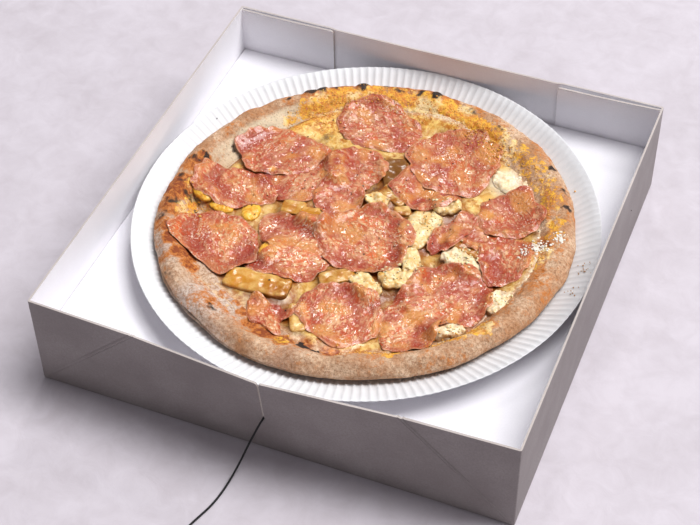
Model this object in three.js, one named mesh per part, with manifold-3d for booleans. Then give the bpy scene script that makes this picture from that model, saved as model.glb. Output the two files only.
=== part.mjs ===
// A takeaway pizza with salami, potato and cheese. It lies on a fluted paper plate in an open tray of
// folded board, with the thin cord that ties the tray shut. Millimetres, +Z up. The origin is the middle
// of the tray's underside, and the tray's front wall, with the slit that the cord leaves by, faces -Y.

import * as THREE from "three";
import { mergeVertices } from "three/addons/utils/BufferGeometryUtils.js";
import Module from "manifold-3d";

const wasm = await Module();
wasm.setup();

// ------------------------------------------------------------------ driving dimensions
const gap = 0.3; // air between two pieces that touch

// Tray: one sheet of board, folded up and glued by two tabs inside the back wall
const trayWidth = 286; // square, outside
const trayHeight = 65;
const board = 1.2;
const creaseBulge = 2.3; // how far the front wall's top edge leans out where its slanting creases end
const middleBulge = 8.5; // and at its middle, where the slit lets it open
const slitBottom = 30.6; // height at which the slit in the front wall ends
const slitHalfTop = 1.5;
const slitHalfBottom = 0.95;
const tabDrop = 0.7; // how far a glue tab's top lies below the tray's
const tabLean = 2; // how far the right tab's loose corner stands off the wall

// Raised floor inside the tray
const floorHeight = 32;

// Paper plate: a flat round with a fluted sloping rim, which climbs a little higher at the back and right
const plate = { x: 0.6, y: 1.6, flatRadius: 110, radius: 139, paper: 0.6, rise: 16 };
const plateTiltX = 1.5;
const plateTiltY = 2;
const fluteCount = 144;
const fluteDepth = 0.45; // above and below the rim's mean height

// Pizza
const pizza = { x: -0.5, y: 1.5, radius: 123.8 };
const doughFloor = 38.5; // height of the dough's flat middle, under the toppings
const plateClearance = 0.65;
const cellSize = 9; // spacing of the points that the layers are draped over
const innerRings = 11;
const rimProfile = [
  // the rim's top from its inner foot outwards: radius, height
  [104.5, 41.8],
  [108.5, 46.2],
  [112, 49.3],
  [115.5, 50.6],
  [119, 49.8],
  [122.2, 46.9],
];
const rimSide = { radius: pizza.radius, height: 44.2 };
const rimUnder = [120.2, 112, 104]; // radii of the underside, which lies on the plate
const rimFade = [0.2, 0.6, 1, 1, 0.8, 0.4]; // how strongly the bubbles show at each point of the profile
const blister = 0.9; // height of the rim's bubbles
const blisterLength = 34;
const smallBlisterLength = 19;

const cheeseRadius = 104.5;
const cheesePoints = 32;
const cheeseThickness = 2.3;
const cheeseUneven = 0.9;
const cheeseUnevenLength = 46;
const bareDough = { reach: 7, angle: 2.75, spread: 0.32 }; // dough shows at the left, above the middle

const sliceThickness = 1.7;
const slicePoints = 18;
const lumpBevel = 1.2;
const thinnest = 0.8; // what is left of a lump over the highest place that it lies on
const footprintMargin = 1.2; // how far beyond its outline a layer still minds what it lies on
const cutterDepth = 60; // of the upright block that cuts a layer out along its outline

// Cord
const cord = { radius: 0.6, sides: 8, steps: 36 };
const coil = { x: -13.6, y: -219.5, inner: 5.35, outer: 9.05, height: 6.05, round: 0.6, sides: 24 };
const knot = { radius: 1.9, height: 3.2, sides: 10 };

// ------------------------------------------------------------------ colours
const finish = (color, roughness) => new THREE.MeshStandardMaterial({ color, roughness, metalness: 0 });
const finishes = {
  board: finish(0xcfc8cc, 0.8),
  insert: finish(0xf1eef4, 0.75),
  plate: finish(0xf6f4f5, 0.7),
  crust: finish(0xc79a78, 0.85),
  cheese: finish(0xe2b266, 0.5),
  salami: finish(0xcf7a60, 0.4),
  potato: finish(0xcb8f2c, 0.4),
  mash: finish(0xecd99a, 0.65),
  cream: finish(0xf3ead2, 0.6),
  cord: finish(0x121214, 0.6),
};

// ------------------------------------------------------------------ solids and meshes
const model = new THREE.Group();

function add(name, geometry, material) {
  const mesh = new THREE.Mesh(geometry, material);
  mesh.name = name;
  model.add(mesh);
  return mesh;
}

function toSolid(geometry) {
  const plain = geometry.clone();
  plain.deleteAttribute("normal");
  plain.deleteAttribute("uv");
  const merged = mergeVertices(plain, 1e-5);
  return new wasm.Manifold(
    new wasm.Mesh({
      numProp: 3,
      vertProperties: new Float32Array(merged.attributes.position.array),
      triVerts: new Uint32Array(merged.index.array),
    }),
  );
}

function toGeometry(solid) {
  const mesh = solid.getMesh();
  const geometry = new THREE.BufferGeometry();
  geometry.setAttribute("position", new THREE.BufferAttribute(mesh.vertProperties, 3));
  geometry.setIndex(new THREE.BufferAttribute(mesh.triVerts, 1));
  geometry.computeVertexNormals();
  return geometry;
}

function fromFaces(points, faces) {
  const geometry = new THREE.BufferGeometry();
  geometry.setAttribute("position", new THREE.Float32BufferAttribute(points.flat(), 3));
  geometry.setIndex(faces.flat());
  geometry.computeVertexNormals();
  return geometry;
}

// Triangles between two rings of point numbers, the second ring outside or below the first. A ring may
// be a single point, and the rings may differ in count.
function zip(first, second) {
  const faces = [];
  let i = first.length === 1 ? 1 : 0;
  let j = second.length === 1 ? 1 : 0;
  while (i < first.length || j < second.length) {
    const a = first[i % first.length];
    const b = second[j % second.length];
    const secondIsNext = i === first.length || (j + 1) / second.length <= (i + 1) / first.length;
    if (j < second.length && secondIsNext) {
      j += 1;
      faces.push([a, b, second[j % second.length]]);
    } else {
      i += 1;
      faces.push([a, b, first[i % first.length]]);
    }
  }
  return faces;
}

// A closed solid from rings of points, from its top middle outwards, down, and in to its bottom middle
function loft(rings) {
  const points = [];
  const numbered = rings.map((ring) => ring.map((point) => points.push(point) - 1));
  const faces = numbered.slice(1).flatMap((ring, k) => zip(numbered[k], ring));
  return fromFaces(points, faces);
}

function circleOf(count, pointAt) {
  return Array.from({ length: count }, (_, k) => pointAt((2 * Math.PI * k) / count, k));
}

// A smooth uneven field between about -1 and 1, whose humps are about half of length across
function uneven(x, y, length) {
  const u = (2 * Math.PI) / length;
  const across = Math.sin(u * x + 1.1 * Math.sin(0.61 * u * y + 0.4));
  const along = Math.sin(0.83 * u * y + 1.3 * Math.sin(0.47 * u * x + 1.9));
  return (across + along) / 2;
}

function smooth(low, high, value) {
  return THREE.MathUtils.smoothstep(value, low, high);
}

// ------------------------------------------------------------------ tray
const half = trayWidth / 2;
const creaseX = half - trayHeight; // the slanting creases run at 45 degrees
const frontEnd = half - 4; // the front wall leans out between its two ends
const tabFree = creaseX - 1.8; // a tab is as long as the tray is high
const tabFold = floorHeight + 2; // height above which the right tab leans

// A flat panel drawn in width and height, standing with its outer face on the XZ plane
function standingPanel(outline) {
  const shape = new THREE.Shape(outline.map(([x, z]) => new THREE.Vector2(x, z)));
  const geometry = new THREE.ExtrudeGeometry(shape, { depth: board, bevelEnabled: false });
  return geometry.rotateX(Math.PI / 2).translate(0, board, 0);
}

function leanOf(x) {
  const outside = THREE.MathUtils.clamp((frontEnd - Math.abs(x)) / (frontEnd - creaseX), 0, 1);
  const inside = THREE.MathUtils.clamp((creaseX - Math.abs(x)) / creaseX, 0, 1);
  return creaseBulge * outside + (middleBulge - creaseBulge) * inside;
}

// The front wall between its two upright ends, which are square with the side walls
function makeFrontPanel() {
  const rightSide = [
    [frontEnd, 0],
    [frontEnd, trayHeight],
    [creaseX, trayHeight],
    [slitHalfTop, trayHeight],
    [slitHalfBottom, slitBottom],
  ];
  const leftSide = rightSide.map(([x, z]) => [-x, z]).reverse();
  const wall = standingPanel([...rightSide, ...leftSide]).translate(0, -half, 0);
  const position = wall.attributes.position;
  for (let k = 0; k < position.count; k += 1) {
    const leaning = (leanOf(position.getX(k)) * position.getZ(k)) / trayHeight;
    position.setY(k, position.getY(k) - leaning);
  }
  return wall;
}

// One part of a glue tab, between two heights, with its loose side leaning off the wall above the floor
function tabPanel(side, outline, lean) {
  const shape = new THREE.Shape(outline.map(([x, z]) => new THREE.Vector2(side * x, z)));
  const panel = new THREE.ExtrudeGeometry(shape, { depth: board + gap, bevelEnabled: false });
  panel.rotateX(Math.PI / 2).translate(0, half - board + gap, 0);
  const position = panel.attributes.position;
  for (let k = 0; k < position.count; k += 1) {
    const looseness = (half - Math.abs(position.getX(k))) / (half - tabFree);
    const upper = THREE.MathUtils.clamp((position.getZ(k) - tabFold) / (trayHeight - tabFold), 0, 1);
    position.setY(k, position.getY(k) - lean * looseness * upper);
  }
  return toSolid(panel);
}

// A tab's free end is the one nearer the middle
function makeTab(side, lean) {
  const root = half - board / 2;
  const outline = (low, high) => [[tabFree, low], [root, low], [root, high], [tabFree, high]];
  const upper = tabPanel(side, outline(tabFold - gap, trayHeight - tabDrop), lean);
  return upper.add(tabPanel(side, outline(board / 2, tabFold), 0));
}

function upright(width, depth, x, y) {
  return new THREE.BoxGeometry(width, depth, trayHeight).translate(x, y, trayHeight / 2);
}

function makeTray() {
  const wallMiddle = half - board / 2;
  const endWidth = half - frontEnd;
  const endMiddle = half - endWidth / 2;
  const panels = [
    new THREE.BoxGeometry(2 * wallMiddle, 2 * wallMiddle, board).translate(0, 0, board / 2),
    upright(board, trayWidth, wallMiddle, 0),
    upright(board, trayWidth, -wallMiddle, 0),
    upright(trayWidth, board, 0, wallMiddle),
    upright(endWidth, board, endMiddle, -wallMiddle),
    upright(endWidth, board, -endMiddle, -wallMiddle),
    makeFrontPanel(),
  ];
  const pieces = [...panels.map(toSolid), makeTab(1, tabLean), makeTab(-1, 0)];
  return toGeometry(pieces.reduce((joined, piece) => joined.add(piece)));
}

add("box_tray", makeTray(), finishes.board);

// ------------------------------------------------------------------ raised floor
function makeFloor() {
  const inside = half - board - gap;
  const back = inside - board - gap; // clear of the tabs
  const low = board + gap;
  const block = new THREE.BoxGeometry(2 * inside, inside + back, floorHeight - low);
  return block.translate(0, (back - inside) / 2, (floorHeight + low) / 2);
}

add("raised_floor", makeFloor(), finishes.insert);

// ------------------------------------------------------------------ plate
const plateTop = floorHeight + gap + plate.paper;

function rimRise(angle) {
  return plate.rise + plateTiltX * Math.cos(angle) + plateTiltY * Math.sin(angle);
}

// Height of the plate's upper face, without its flutes
function plateHeight(x, y) {
  const radius = Math.hypot(x - plate.x, y - plate.y);
  const climb = Math.max(0, radius - plate.flatRadius) / (plate.radius - plate.flatRadius);
  return plateTop + climb * rimRise(Math.atan2(y - plate.y, x - plate.x));
}

function makePlate() {
  const ring = (radius, drop, edge) =>
    circleOf(2 * fluteCount, (angle, k) => {
      const x = plate.x + radius * Math.cos(angle);
      const y = plate.y + radius * Math.sin(angle);
      const flute = k % 2 === 0 ? fluteDepth : -fluteDepth;
      const height = edge ? plateTop + rimRise(angle) + flute : plateTop;
      return [x, y, height - drop];
    });
  return loft([
    [[plate.x, plate.y, plateTop]],
    ring(plate.flatRadius, 0, false),
    ring(plate.radius, 0, true),
    ring(plate.radius + plate.paper / 2, plate.paper, true),
    ring(plate.flatRadius + plate.paper / 2, plate.paper, false),
    [[plate.x, plate.y, plateTop - plate.paper]],
  ]);
}

add("paper_plate", makePlate(), finishes.plate);

// ------------------------------------------------------------------ the points that the layers lie on
// The pizza isn't quite round: its outline swells and draws in by a few millimetres
function outlineScale(angle, radius) {
  const swell = 0.0167 * Math.sin(angle + 0.22) + 0.0113 * Math.sin(2 * angle + 0.15);
  const ripple = 0.0035 * Math.sin(7 * angle + 1) + 0.002 * Math.sin(13 * angle);
  return 1 + (swell + ripple) * smooth(92, 112, radius);
}

function pizzaPoint(radius, angle) {
  const reach = radius * outlineScale(angle, radius);
  return [pizza.x + reach * Math.cos(angle), pizza.y + reach * Math.sin(angle)];
}

const rimPoints = 6 * innerRings;
const lattice = { points: [], rings: [], faces: [] };

function addLatticeRing(radius, count) {
  const ring = circleOf(count, (angle) => lattice.points.push(pizzaPoint(radius, angle)) - 1);
  if (lattice.rings.length > 0) {
    lattice.faces.push(...zip(lattice.rings.at(-1), ring));
  }
  lattice.rings.push(ring);
}

addLatticeRing(0, 1);
for (let k = 1; k <= innerRings; k += 1) {
  addLatticeRing(k * cellSize, 6 * k);
}
for (const [radius] of rimProfile) {
  addLatticeRing(radius, rimPoints);
}

// Which of the lattice's triangles holds each point of a grid 1 mm apart
const sampleReach = 126;
const sampleSide = 2 * sampleReach + 1;
const sampleFace = new Int32Array(sampleSide * sampleSide).fill(-1);

function cross(a, b, x, y) {
  return (b[0] - a[0]) * (y - a[1]) - (b[1] - a[1]) * (x - a[0]);
}

lattice.faces.forEach((face, number) => {
  const [a, b, c] = face.map((k) => lattice.points[k]);
  const xs = [a[0], b[0], c[0]];
  const ys = [a[1], b[1], c[1]];
  for (let y = Math.ceil(Math.min(...ys)); y <= Math.max(...ys); y += 1) {
    for (let x = Math.ceil(Math.min(...xs)); x <= Math.max(...xs); x += 1) {
      if (cross(a, b, x, y) >= 0 && cross(b, c, x, y) >= 0 && cross(c, a, x, y) >= 0) {
        sampleFace[(y + sampleReach) * sampleSide + x + sampleReach] = number;
      }
    }
  }
});

// The closed slab between two sets of heights on the lattice. Where its underside lies on the dough's
// flat middle, that part of it is a plain round.
const flatFaces = zip([0], lattice.rings[innerRings]);
const rimRings = lattice.rings.slice(innerRings);
const rimFaces = rimRings.slice(1).flatMap((ring, k) => zip(rimRings[k], ring));

function slab(bottoms, tops, flat = false) {
  const count = lattice.points.length;
  const low = lattice.points.map(([x, y], k) => [x, y, bottoms[k]]);
  const high = lattice.points.map(([x, y], k) => [x, y, tops[k]]);
  const under = (flat ? [...flatFaces, ...rimFaces] : lattice.faces).map(([a, b, c]) => [a, c, b]);
  const over = lattice.faces.map((face) => face.map((k) => k + count));
  const edge = lattice.rings.at(-1);
  const side = zip(
    edge.map((k) => k + count),
    edge,
  );
  return toSolid(fromFaces([...low, ...high], [...under, ...over, ...side]));
}

// ------------------------------------------------------------------ pizza base
const rimHeights = lattice.points.map(([x, y], k) => {
  const ring = lattice.rings.findIndex((numbers) => numbers.includes(k)) - innerRings - 1;
  if (ring < 0) {
    return doughFloor;
  }
  const bubbles = uneven(x, y, blisterLength) + 0.6 * uneven(y, x, smallBlisterLength);
  return rimProfile[ring][1] + rimFade[ring] * blister * bubbles;
});

function makeBase() {
  const at = (ring) => ring.map((k) => [...lattice.points[k], rimHeights[k]]);
  const round = (radius, heightAt) =>
    circleOf(rimPoints, (angle) => {
      const [x, y] = pizzaPoint(radius, angle);
      return [x, y, heightAt(x, y)];
    });
  const onPlate = (x, y) => plateHeight(x, y) + plateClearance;
  return loft([
    [[pizza.x, pizza.y, doughFloor]],
    ...lattice.rings.slice(innerRings).map(at),
    round(rimSide.radius, () => rimSide.height),
    ...rimUnder.map((radius) => round(radius, onPlate)),
    [[pizza.x, pizza.y, plateTop + plateClearance]],
  ]);
}

add("pizza_base", makeBase(), finishes.crust);

// ------------------------------------------------------------------ layers draped on the base
// Each layer knows where its outline lies, and its upper face's heights on the lattice. A later layer
// lies clear of an earlier one at every corner of each triangle in which the two share any ground.
const layers = [];

function insideOf(outline, x, y) {
  let inside = false;
  outline.forEach(([x1, y1], k) => {
    const [x2, y2] = outline[(k + 1) % outline.length];
    if (y1 > y !== y2 > y && x < x1 + ((y - y1) * (x2 - x1)) / (y2 - y1)) {
      inside = !inside;
    }
  });
  return inside;
}

function samplesOf(outline) {
  const xs = outline.map(([x]) => x);
  const ys = outline.map(([, y]) => y);
  const [middleX, middleY] = [xs, ys].map((list) => (Math.min(...list) + Math.max(...list)) / 2);
  const wider = outline.map(([x, y]) => {
    const reach = Math.hypot(x - middleX, y - middleY);
    const grown = 1 + footprintMargin / reach;
    return [middleX + (x - middleX) * grown, middleY + (y - middleY) * grown];
  });
  const samples = new Set();
  for (let y = Math.floor(Math.min(...ys)) - 2; y <= Math.max(...ys) + 2; y += 1) {
    for (let x = Math.floor(Math.min(...xs)) - 2; x <= Math.max(...xs) + 2; x += 1) {
      const sample = (y + sampleReach) * sampleSide + x + sampleReach;
      if (insideOf(wider, x, y) && sampleFace[sample] >= 0) {
        samples.add(sample);
      }
    }
  }
  return samples;
}

// The lowest heights at which a layer over these samples is clear of the base and all earlier layers
function restingHeights(samples) {
  const heights = rimHeights.map((height) => height + gap);
  for (const layer of layers) {
    for (const sample of samples) {
      if (layer.samples.has(sample)) {
        for (const k of lattice.faces[sampleFace[sample]]) {
          heights[k] = Math.max(heights[k], layer.tops[k] + gap);
        }
      }
    }
  }
  return heights;
}

// Height of a surface on the lattice at one sample
function heightOver(sample, heights) {
  const x = (sample % sampleSide) - sampleReach;
  const y = Math.floor(sample / sampleSide) - sampleReach;
  const face = lattice.faces[sampleFace[sample]];
  const [a, b, c] = face.map((k) => lattice.points[k]);
  const weights = [cross(b, c, x, y), cross(c, a, x, y), cross(a, b, x, y)];
  const whole = weights.reduce((sum, weight) => sum + weight);
  return face.reduce((sum, k, corner) => sum + (weights[corner] / whole) * heights[k], 0);
}

function prism(outline) {
  const shape = new THREE.Shape(outline.map(([x, y]) => new THREE.Vector2(x, y)));
  return toSolid(new THREE.ExtrudeGeometry(shape, { depth: cutterDepth, bevelEnabled: false }));
}

// A layer that follows what is under it, such as the cheese or a slice
function drape(name, material, outline, thicknessAt, { liftAt = () => 0, flat = false } = {}) {
  const samples = samplesOf(outline);
  const bottoms = restingHeights(samples).map((height, k) => height + liftAt(...lattice.points[k]));
  const tops = bottoms.map((height, k) => height + thicknessAt(...lattice.points[k]));
  const solid = prism(outline).translate([0, 0, doughFloor - 5]).intersect(slab(bottoms, tops, flat));
  layers.push({ samples, tops });
  add(name, toGeometry(solid), material);
}

// A lump with a level top and bevelled edges, sunk until its whole underside rests
function settle(name, material, outline, height) {
  const samples = samplesOf(outline);
  const bottoms = restingHeights(samples);
  const resting = [...samples].map((sample) => heightOver(sample, bottoms));
  const top = Math.max(Math.min(...resting) + height, Math.max(...resting) + thinnest);
  const shape = new THREE.Shape(outline.map(([x, y]) => new THREE.Vector2(x, y)));
  const form = new THREE.ExtrudeGeometry(shape, {
    depth: cutterDepth,
    bevelThickness: lumpBevel,
    bevelSize: lumpBevel,
    bevelOffset: -lumpBevel,
    bevelSegments: 1,
  });
  form.translate(0, 0, top - cutterDepth - lumpBevel);
  const above = bottoms.map((bottom) => Math.max(bottom, top) + 2 * lumpBevel);
  layers.push({ samples, tops: bottoms.map((bottom) => Math.max(bottom, top)) });
  add(name, toGeometry(toSolid(form).intersect(slab(bottoms, above))), material);
}

// Outline of a slice: an ellipse, uneven by a few per cent, that may run out in one tongue
function sliceOutline({ x, y, a, b, turn = 0, tongue = [0, 0] }, seed) {
  const heading = THREE.MathUtils.degToRad(turn);
  return circleOf(slicePoints, (angle) => {
    const wave = 1 + 0.03 * Math.sin(3 * angle + seed) + 0.02 * Math.sin(5 * angle + 2.3 * seed);
    const off = Math.atan2(Math.sin(angle - tongue[0]), Math.cos(angle - tongue[0]));
    const reach = wave + tongue[1] * Math.exp(-((off / 0.35) ** 2));
    const [u, v] = [a * reach * Math.cos(angle), b * reach * Math.sin(angle)];
    return [
      pizza.x + x + u * Math.cos(heading) - v * Math.sin(heading),
      pizza.y + y + u * Math.sin(heading) + v * Math.cos(heading),
    ];
  });
}

// Outline of a cut piece: a block with its corners cut off, narrower at one end by its taper
function blockOutline({ x, y, long, wide, turn = 0, taper = 0 }) {
  const heading = THREE.MathUtils.degToRad(turn);
  const corners = [
    [1, 0.5],
    [0.72, 1],
    [-0.72, 1],
    [-1, 0.5],
    [-1, -0.5],
    [-0.72, -1],
    [0.72, -1],
    [1, -0.5],
  ];
  return corners.map(([u, v]) => {
    const along = (u * long) / 2;
    const across = ((v * wide) / 2) * (1 - taper * (0.5 + u / 2));
    return [
      pizza.x + x + along * Math.cos(heading) - across * Math.sin(heading),
      pizza.y + y + along * Math.sin(heading) + across * Math.cos(heading),
    ];
  });
}

// ------------------------------------------------------------------ cheese
function cheeseOutline() {
  return circleOf(cheesePoints, (angle) => {
    const bare = bareDough.reach * Math.exp(-(((angle - bareDough.angle) / bareDough.spread) ** 2));
    const reach = cheeseRadius - bare + 1.6 * Math.sin(5 * angle + 0.7) + 1.1 * Math.sin(9 * angle + 2);
    return [pizza.x + reach * Math.cos(angle), pizza.y + reach * Math.sin(angle)];
  });
}

const cheeseAt = (x, y) => cheeseThickness + cheeseUneven * uneven(x, y, cheeseUnevenLength);
drape("melted_cheese", finishes.cheese, cheeseOutline(), cheeseAt, { flat: true });

// ------------------------------------------------------------------ potato, mash, cheese and cream
// Places are from the pizza's middle. Each piece gives its length, width and the height it stands.
const lumps = {
  potato: {
    finish: finishes.potato,
    pieces: [
      { x: -39, y: -67.5, long: 37, wide: 14, turn: 4, height: 5.2 },
      { x: -44, y: -3, long: 12, wide: 9, turn: 6, height: 4.2 },
      { x: -32.5, y: -6, long: 9, wide: 9.5, turn: 5, height: 4.4 },
      { x: -25.5, y: -8.5, long: 6, wide: 8, turn: -8, height: 4 },
      { x: -34, y: 39, long: 23, wide: 4.4, turn: 102, height: 4 },
      { x: 3, y: 47, long: 27, wide: 15, turn: 121, height: 2.6 },
      { x: 8.5, y: 28.5, long: 17, wide: 8, turn: -22, height: 3.4 },
      { x: 18, y: 18, long: 8, wide: 6, turn: 20, height: 3 },
      { x: 63, y: 3, long: 19, wide: 7, turn: -16, height: 3.6 },
      { x: -7, y: -84, long: 19, wide: 7, turn: 116, height: 4.4 },
      { x: 2, y: -46.5, long: 19, wide: 8, turn: 36, height: 3.4 },
    ],
  },
  mash: {
    finish: finishes.mash,
    pieces: [
      { x: 32.5, y: 9, long: 35, wide: 18, turn: 84, taper: 0.2, height: 4.8 },
      { x: 42, y: 29.5, long: 14, wide: 12, turn: 20, height: 4.4 },
      { x: 39.5, y: -24.5, long: 29, wide: 9, turn: 113, height: 4.8 },
      { x: 33, y: -38, long: 14, wide: 13, turn: 30, height: 4.6 },
      { x: 20, y: -47.5, long: 20, wide: 12, turn: -36, taper: 0.3, height: 4.6 },
      { x: 1, y: 20.5, long: 12, wide: 9, turn: -10, height: 3.4 },
    ],
  },
  cheese_lump: {
    finish: finishes.cheese,
    pieces: [
      { x: -43, y: -40, long: 14, wide: 9, turn: 76, height: 4.6 },
      { x: -67, y: -14, long: 13, wide: 9, turn: 100, height: 3 },
      { x: -86, y: -15.5, long: 14, wide: 8, turn: -12, height: 3 },
      { x: -99, y: -10.5, long: 14, wide: 10, turn: -30, height: 3.2 },
    ],
  },
  cream: {
    finish: finishes.cream,
    pieces: [
      { x: 73, y: 64.5, long: 27, wide: 15, turn: -14, height: 3.6 },
      { x: 65.5, y: -9, long: 27, wide: 13, turn: -16, height: 4.4 },
      { x: 95, y: -32, long: 18, wide: 11, turn: 80, height: 3.2 },
      { x: 77, y: -65, long: 16, wide: 9, turn: 30, height: 2.6 },
    ],
  },
};

for (const [kind, { finish: material, pieces }] of Object.entries(lumps)) {
  pieces.forEach((piece, k) => {
    settle(`${kind}_${String(k + 1).padStart(2, "0")}`, material, blockOutline(piece), piece.height);
  });
}

// ------------------------------------------------------------------ salami
// From the lowest slice to the uppermost. A curl lifts the slice's edge on the side that it names.
const slices = [
  { x: -53, y: 31, a: 26, b: 29 },
  { x: -86, y: 2, a: 27, b: 18, turn: 4 },
  { x: -23, y: 85, a: 28, b: 21, turn: -8 },
  { x: -31, y: -35, a: 26, b: 25 },
  { x: 25, y: 43, a: 22, b: 22.5 },
  { x: 32, y: 71, a: 29, b: 29 },
  { x: -23, y: 45, a: 20, b: 19 },
  { x: -23, y: 17, a: 16, b: 17 },
  { x: -71, y: 41, a: 27, b: 21.5, turn: 12, tongue: [3.1, 0.1], curl: [185, 2.5] },
  { x: -77, y: -42, a: 29, b: 21, turn: -10, tongue: [-0.95, 0.35], curl: [-110, 1.5] },
  { x: 6, y: -12, a: 30, b: 28, turn: -15 },
  { x: 67, y: 17, a: 18, b: 14, turn: -35 },
  { x: 67, y: -37, a: 25, b: 26 },
  { x: 87, y: 3, a: 16, b: 22, turn: 5 },
  { x: 79, y: 37, a: 20, b: 19, turn: 6, tongue: [1.35, 0.32], curl: [60, 2] },
  { x: 52, y: 11, a: 8.5, b: 20, turn: -22, curl: [180, 2] },
  { x: 53, y: -64, a: 18, b: 26, turn: 10 },
  { x: 14, y: -72, a: 26, b: 23, turn: -12 },
  { x: -25, y: -87, a: 14, b: 10.5, turn: -32 },
];

slices.forEach((slice, k) => {
  const name = `salami_${String(k + 1).padStart(2, "0")}`;
  const [direction, rise] = slice.curl ?? [0, 0];
  const towards = THREE.MathUtils.degToRad(direction);
  const reach = (slice.a + slice.b) / 2;
  const liftAt = (px, py) => {
    const [u, v] = [px - pizza.x - slice.x, py - pizza.y - slice.y];
    return rise * smooth(0.25, 1.1, (u * Math.cos(towards) + v * Math.sin(towards)) / reach);
  };
  drape(name, finishes.salami, sliceOutline(slice, k), () => sliceThickness, { liftAt });
});

// ------------------------------------------------------------------ cord
// Out through the slit, down to the surface that the tray stands on, and along it to the coil
const lying = cord.radius + 0.05; // the middle of the cord where it lies on the table, just clear of it
const cordRoute = [
  [0, -141.8, 31.25],
  [0, -144.6, 31.75],
  [0, -147.4, 31.9],
  [-0.8, -149.2, 30.3],
  [-2.1, -150.6, 27],
  [-3.8, -152.7, 22.3],
  [-5.6, -155.1, 17.3],
  [-7.4, -158.3, 11.6],
  [-8.9, -162.3, 6.8],
  [-10.2, -167.6, 3.1],
  [-11.1, -173.7, 1.2],
  [-11.8, -180.2, lying],
  [-12.8, -186.8, lying],
  [-14, -191.9, lying],
  [-15.5, -196.5, lying],
  [-17, -200.9, lying],
  [-18.4, -205.2, lying],
  [-20, -210, lying],
];

function makeCord() {
  const route = new THREE.CatmullRomCurve3(cordRoute.map((point) => new THREE.Vector3(...point)));
  const { radius, sides, steps } = cord;
  const onSection = (angle) => new THREE.Vector2(radius * Math.cos(angle), radius * Math.sin(angle));
  const section = new THREE.Shape(circleOf(sides, onSection));
  return new THREE.ExtrudeGeometry(section, { steps, extrudePath: route });
}

// The coil's turns together: a ring with rounded edges
function makeCoil() {
  const { inner, outer, height, round, sides } = coil;
  const profile = [
    [inner, round],
    [inner + round, 0],
    [outer - round, 0],
    [outer, round],
    [outer, height - round],
    [outer - round, height],
    [inner + round, height],
    [inner, height - round],
    [inner, round],
  ].map(([radius, z]) => new THREE.Vector2(radius, z));
  return new THREE.LatheGeometry(profile, sides).rotateX(Math.PI / 2).translate(coil.x, coil.y, 0);
}

// The knot at the cord's free end, lying against the coil
function makeKnot() {
  const profile = [
    [0, 0],
    [knot.radius * 0.55, 0],
    [knot.radius, knot.height * 0.35],
    [knot.radius, knot.height * 0.65],
    [knot.radius * 0.55, knot.height],
    [0, knot.height],
  ].map(([radius, z]) => new THREE.Vector2(radius, z));
  const knotX = coil.x + coil.outer + gap + knot.radius;
  return new THREE.LatheGeometry(profile, knot.sides).rotateX(Math.PI / 2).translate(knotX, coil.y, 0);
}

add("cord_lead", makeCord(), finishes.cord);
add("cord_coil", makeCoil(), finishes.cord);
add("cord_knot", makeKnot(), finishes.cord);

export default model;
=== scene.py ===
# A takeaway pizza with salami, potato and cheese, on a fluted paper plate in its open board tray.
# Numbers in the dictionaries are millimetres and degrees, in the frame's own axes, unless a note says
# otherwise. A place on the pizza is counted from the pizza's middle.

import math

import bpy
import numpy as np
from mathutils import Matrix, Vector, noise
from mathutils.bvhtree import BVHTree


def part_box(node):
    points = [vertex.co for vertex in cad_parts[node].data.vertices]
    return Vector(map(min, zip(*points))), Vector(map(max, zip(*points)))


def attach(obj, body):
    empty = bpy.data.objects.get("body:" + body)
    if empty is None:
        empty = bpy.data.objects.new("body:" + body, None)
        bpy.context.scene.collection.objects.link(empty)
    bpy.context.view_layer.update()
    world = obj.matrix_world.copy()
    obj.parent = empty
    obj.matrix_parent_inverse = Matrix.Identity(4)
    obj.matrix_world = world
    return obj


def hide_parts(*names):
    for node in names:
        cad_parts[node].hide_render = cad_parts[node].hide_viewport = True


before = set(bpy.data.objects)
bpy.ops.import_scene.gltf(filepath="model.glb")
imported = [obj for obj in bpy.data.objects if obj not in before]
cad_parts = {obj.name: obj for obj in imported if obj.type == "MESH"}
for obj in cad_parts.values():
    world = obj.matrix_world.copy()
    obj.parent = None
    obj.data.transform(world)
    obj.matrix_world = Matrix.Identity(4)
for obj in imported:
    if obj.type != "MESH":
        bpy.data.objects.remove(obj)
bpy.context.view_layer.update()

mm = 0.001


# ---- small tools for nodes, meshes and operators

def linear(hexColour):
    # sRGB hex to the linear values that sockets take
    parts = [int(hexColour[k:k + 2], 16) / 255 for k in (1, 3, 5)]
    return [p / 12.92 if p <= 0.04045 else ((p + 0.055) / 1.055) ** 2.4 for p in parts] + [1.0]


def addNode(tree, kind, inputs=None, **settings):
    # an input is another node's output, a colour in hex, or a plain value
    node = tree.nodes.new("ShaderNode" + kind)
    for name, value in settings.items():
        setattr(node, name, value)
    for name, value in (inputs or {}).items():
        if isinstance(value, bpy.types.NodeSocket):
            tree.links.new(value, node.inputs[name])
        else:
            node.inputs[name].default_value = linear(value) if isinstance(value, str) else value
    return node


def newMaterial(name):
    material = bpy.data.materials.new(name)
    material.use_nodes = True
    material.node_tree.nodes.clear()
    return material, material.node_tree


def paint(tree, made, masks, tones):
    # masks are (name, what it follows, from, to, least, most), and tones are (name, how much of the
    # upper colour shows, lower, upper). A step may name an earlier one, and the last is handed back.
    for name, value, low, high, least, most in masks:
        made[name] = addNode(tree, "MapRange", {
            "Value": value, "From Min": low, "From Max": high, "To Min": least, "To Max": most,
        }).outputs[0]
    for name, *parts in tones:
        amount, lower, upper = (made.get(part, part) for part in parts)
        made[name] = addNode(tree, "Mix", {0: amount, 6: lower, 7: upper}, data_type="RGBA").outputs[2]
    return made[name]


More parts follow.
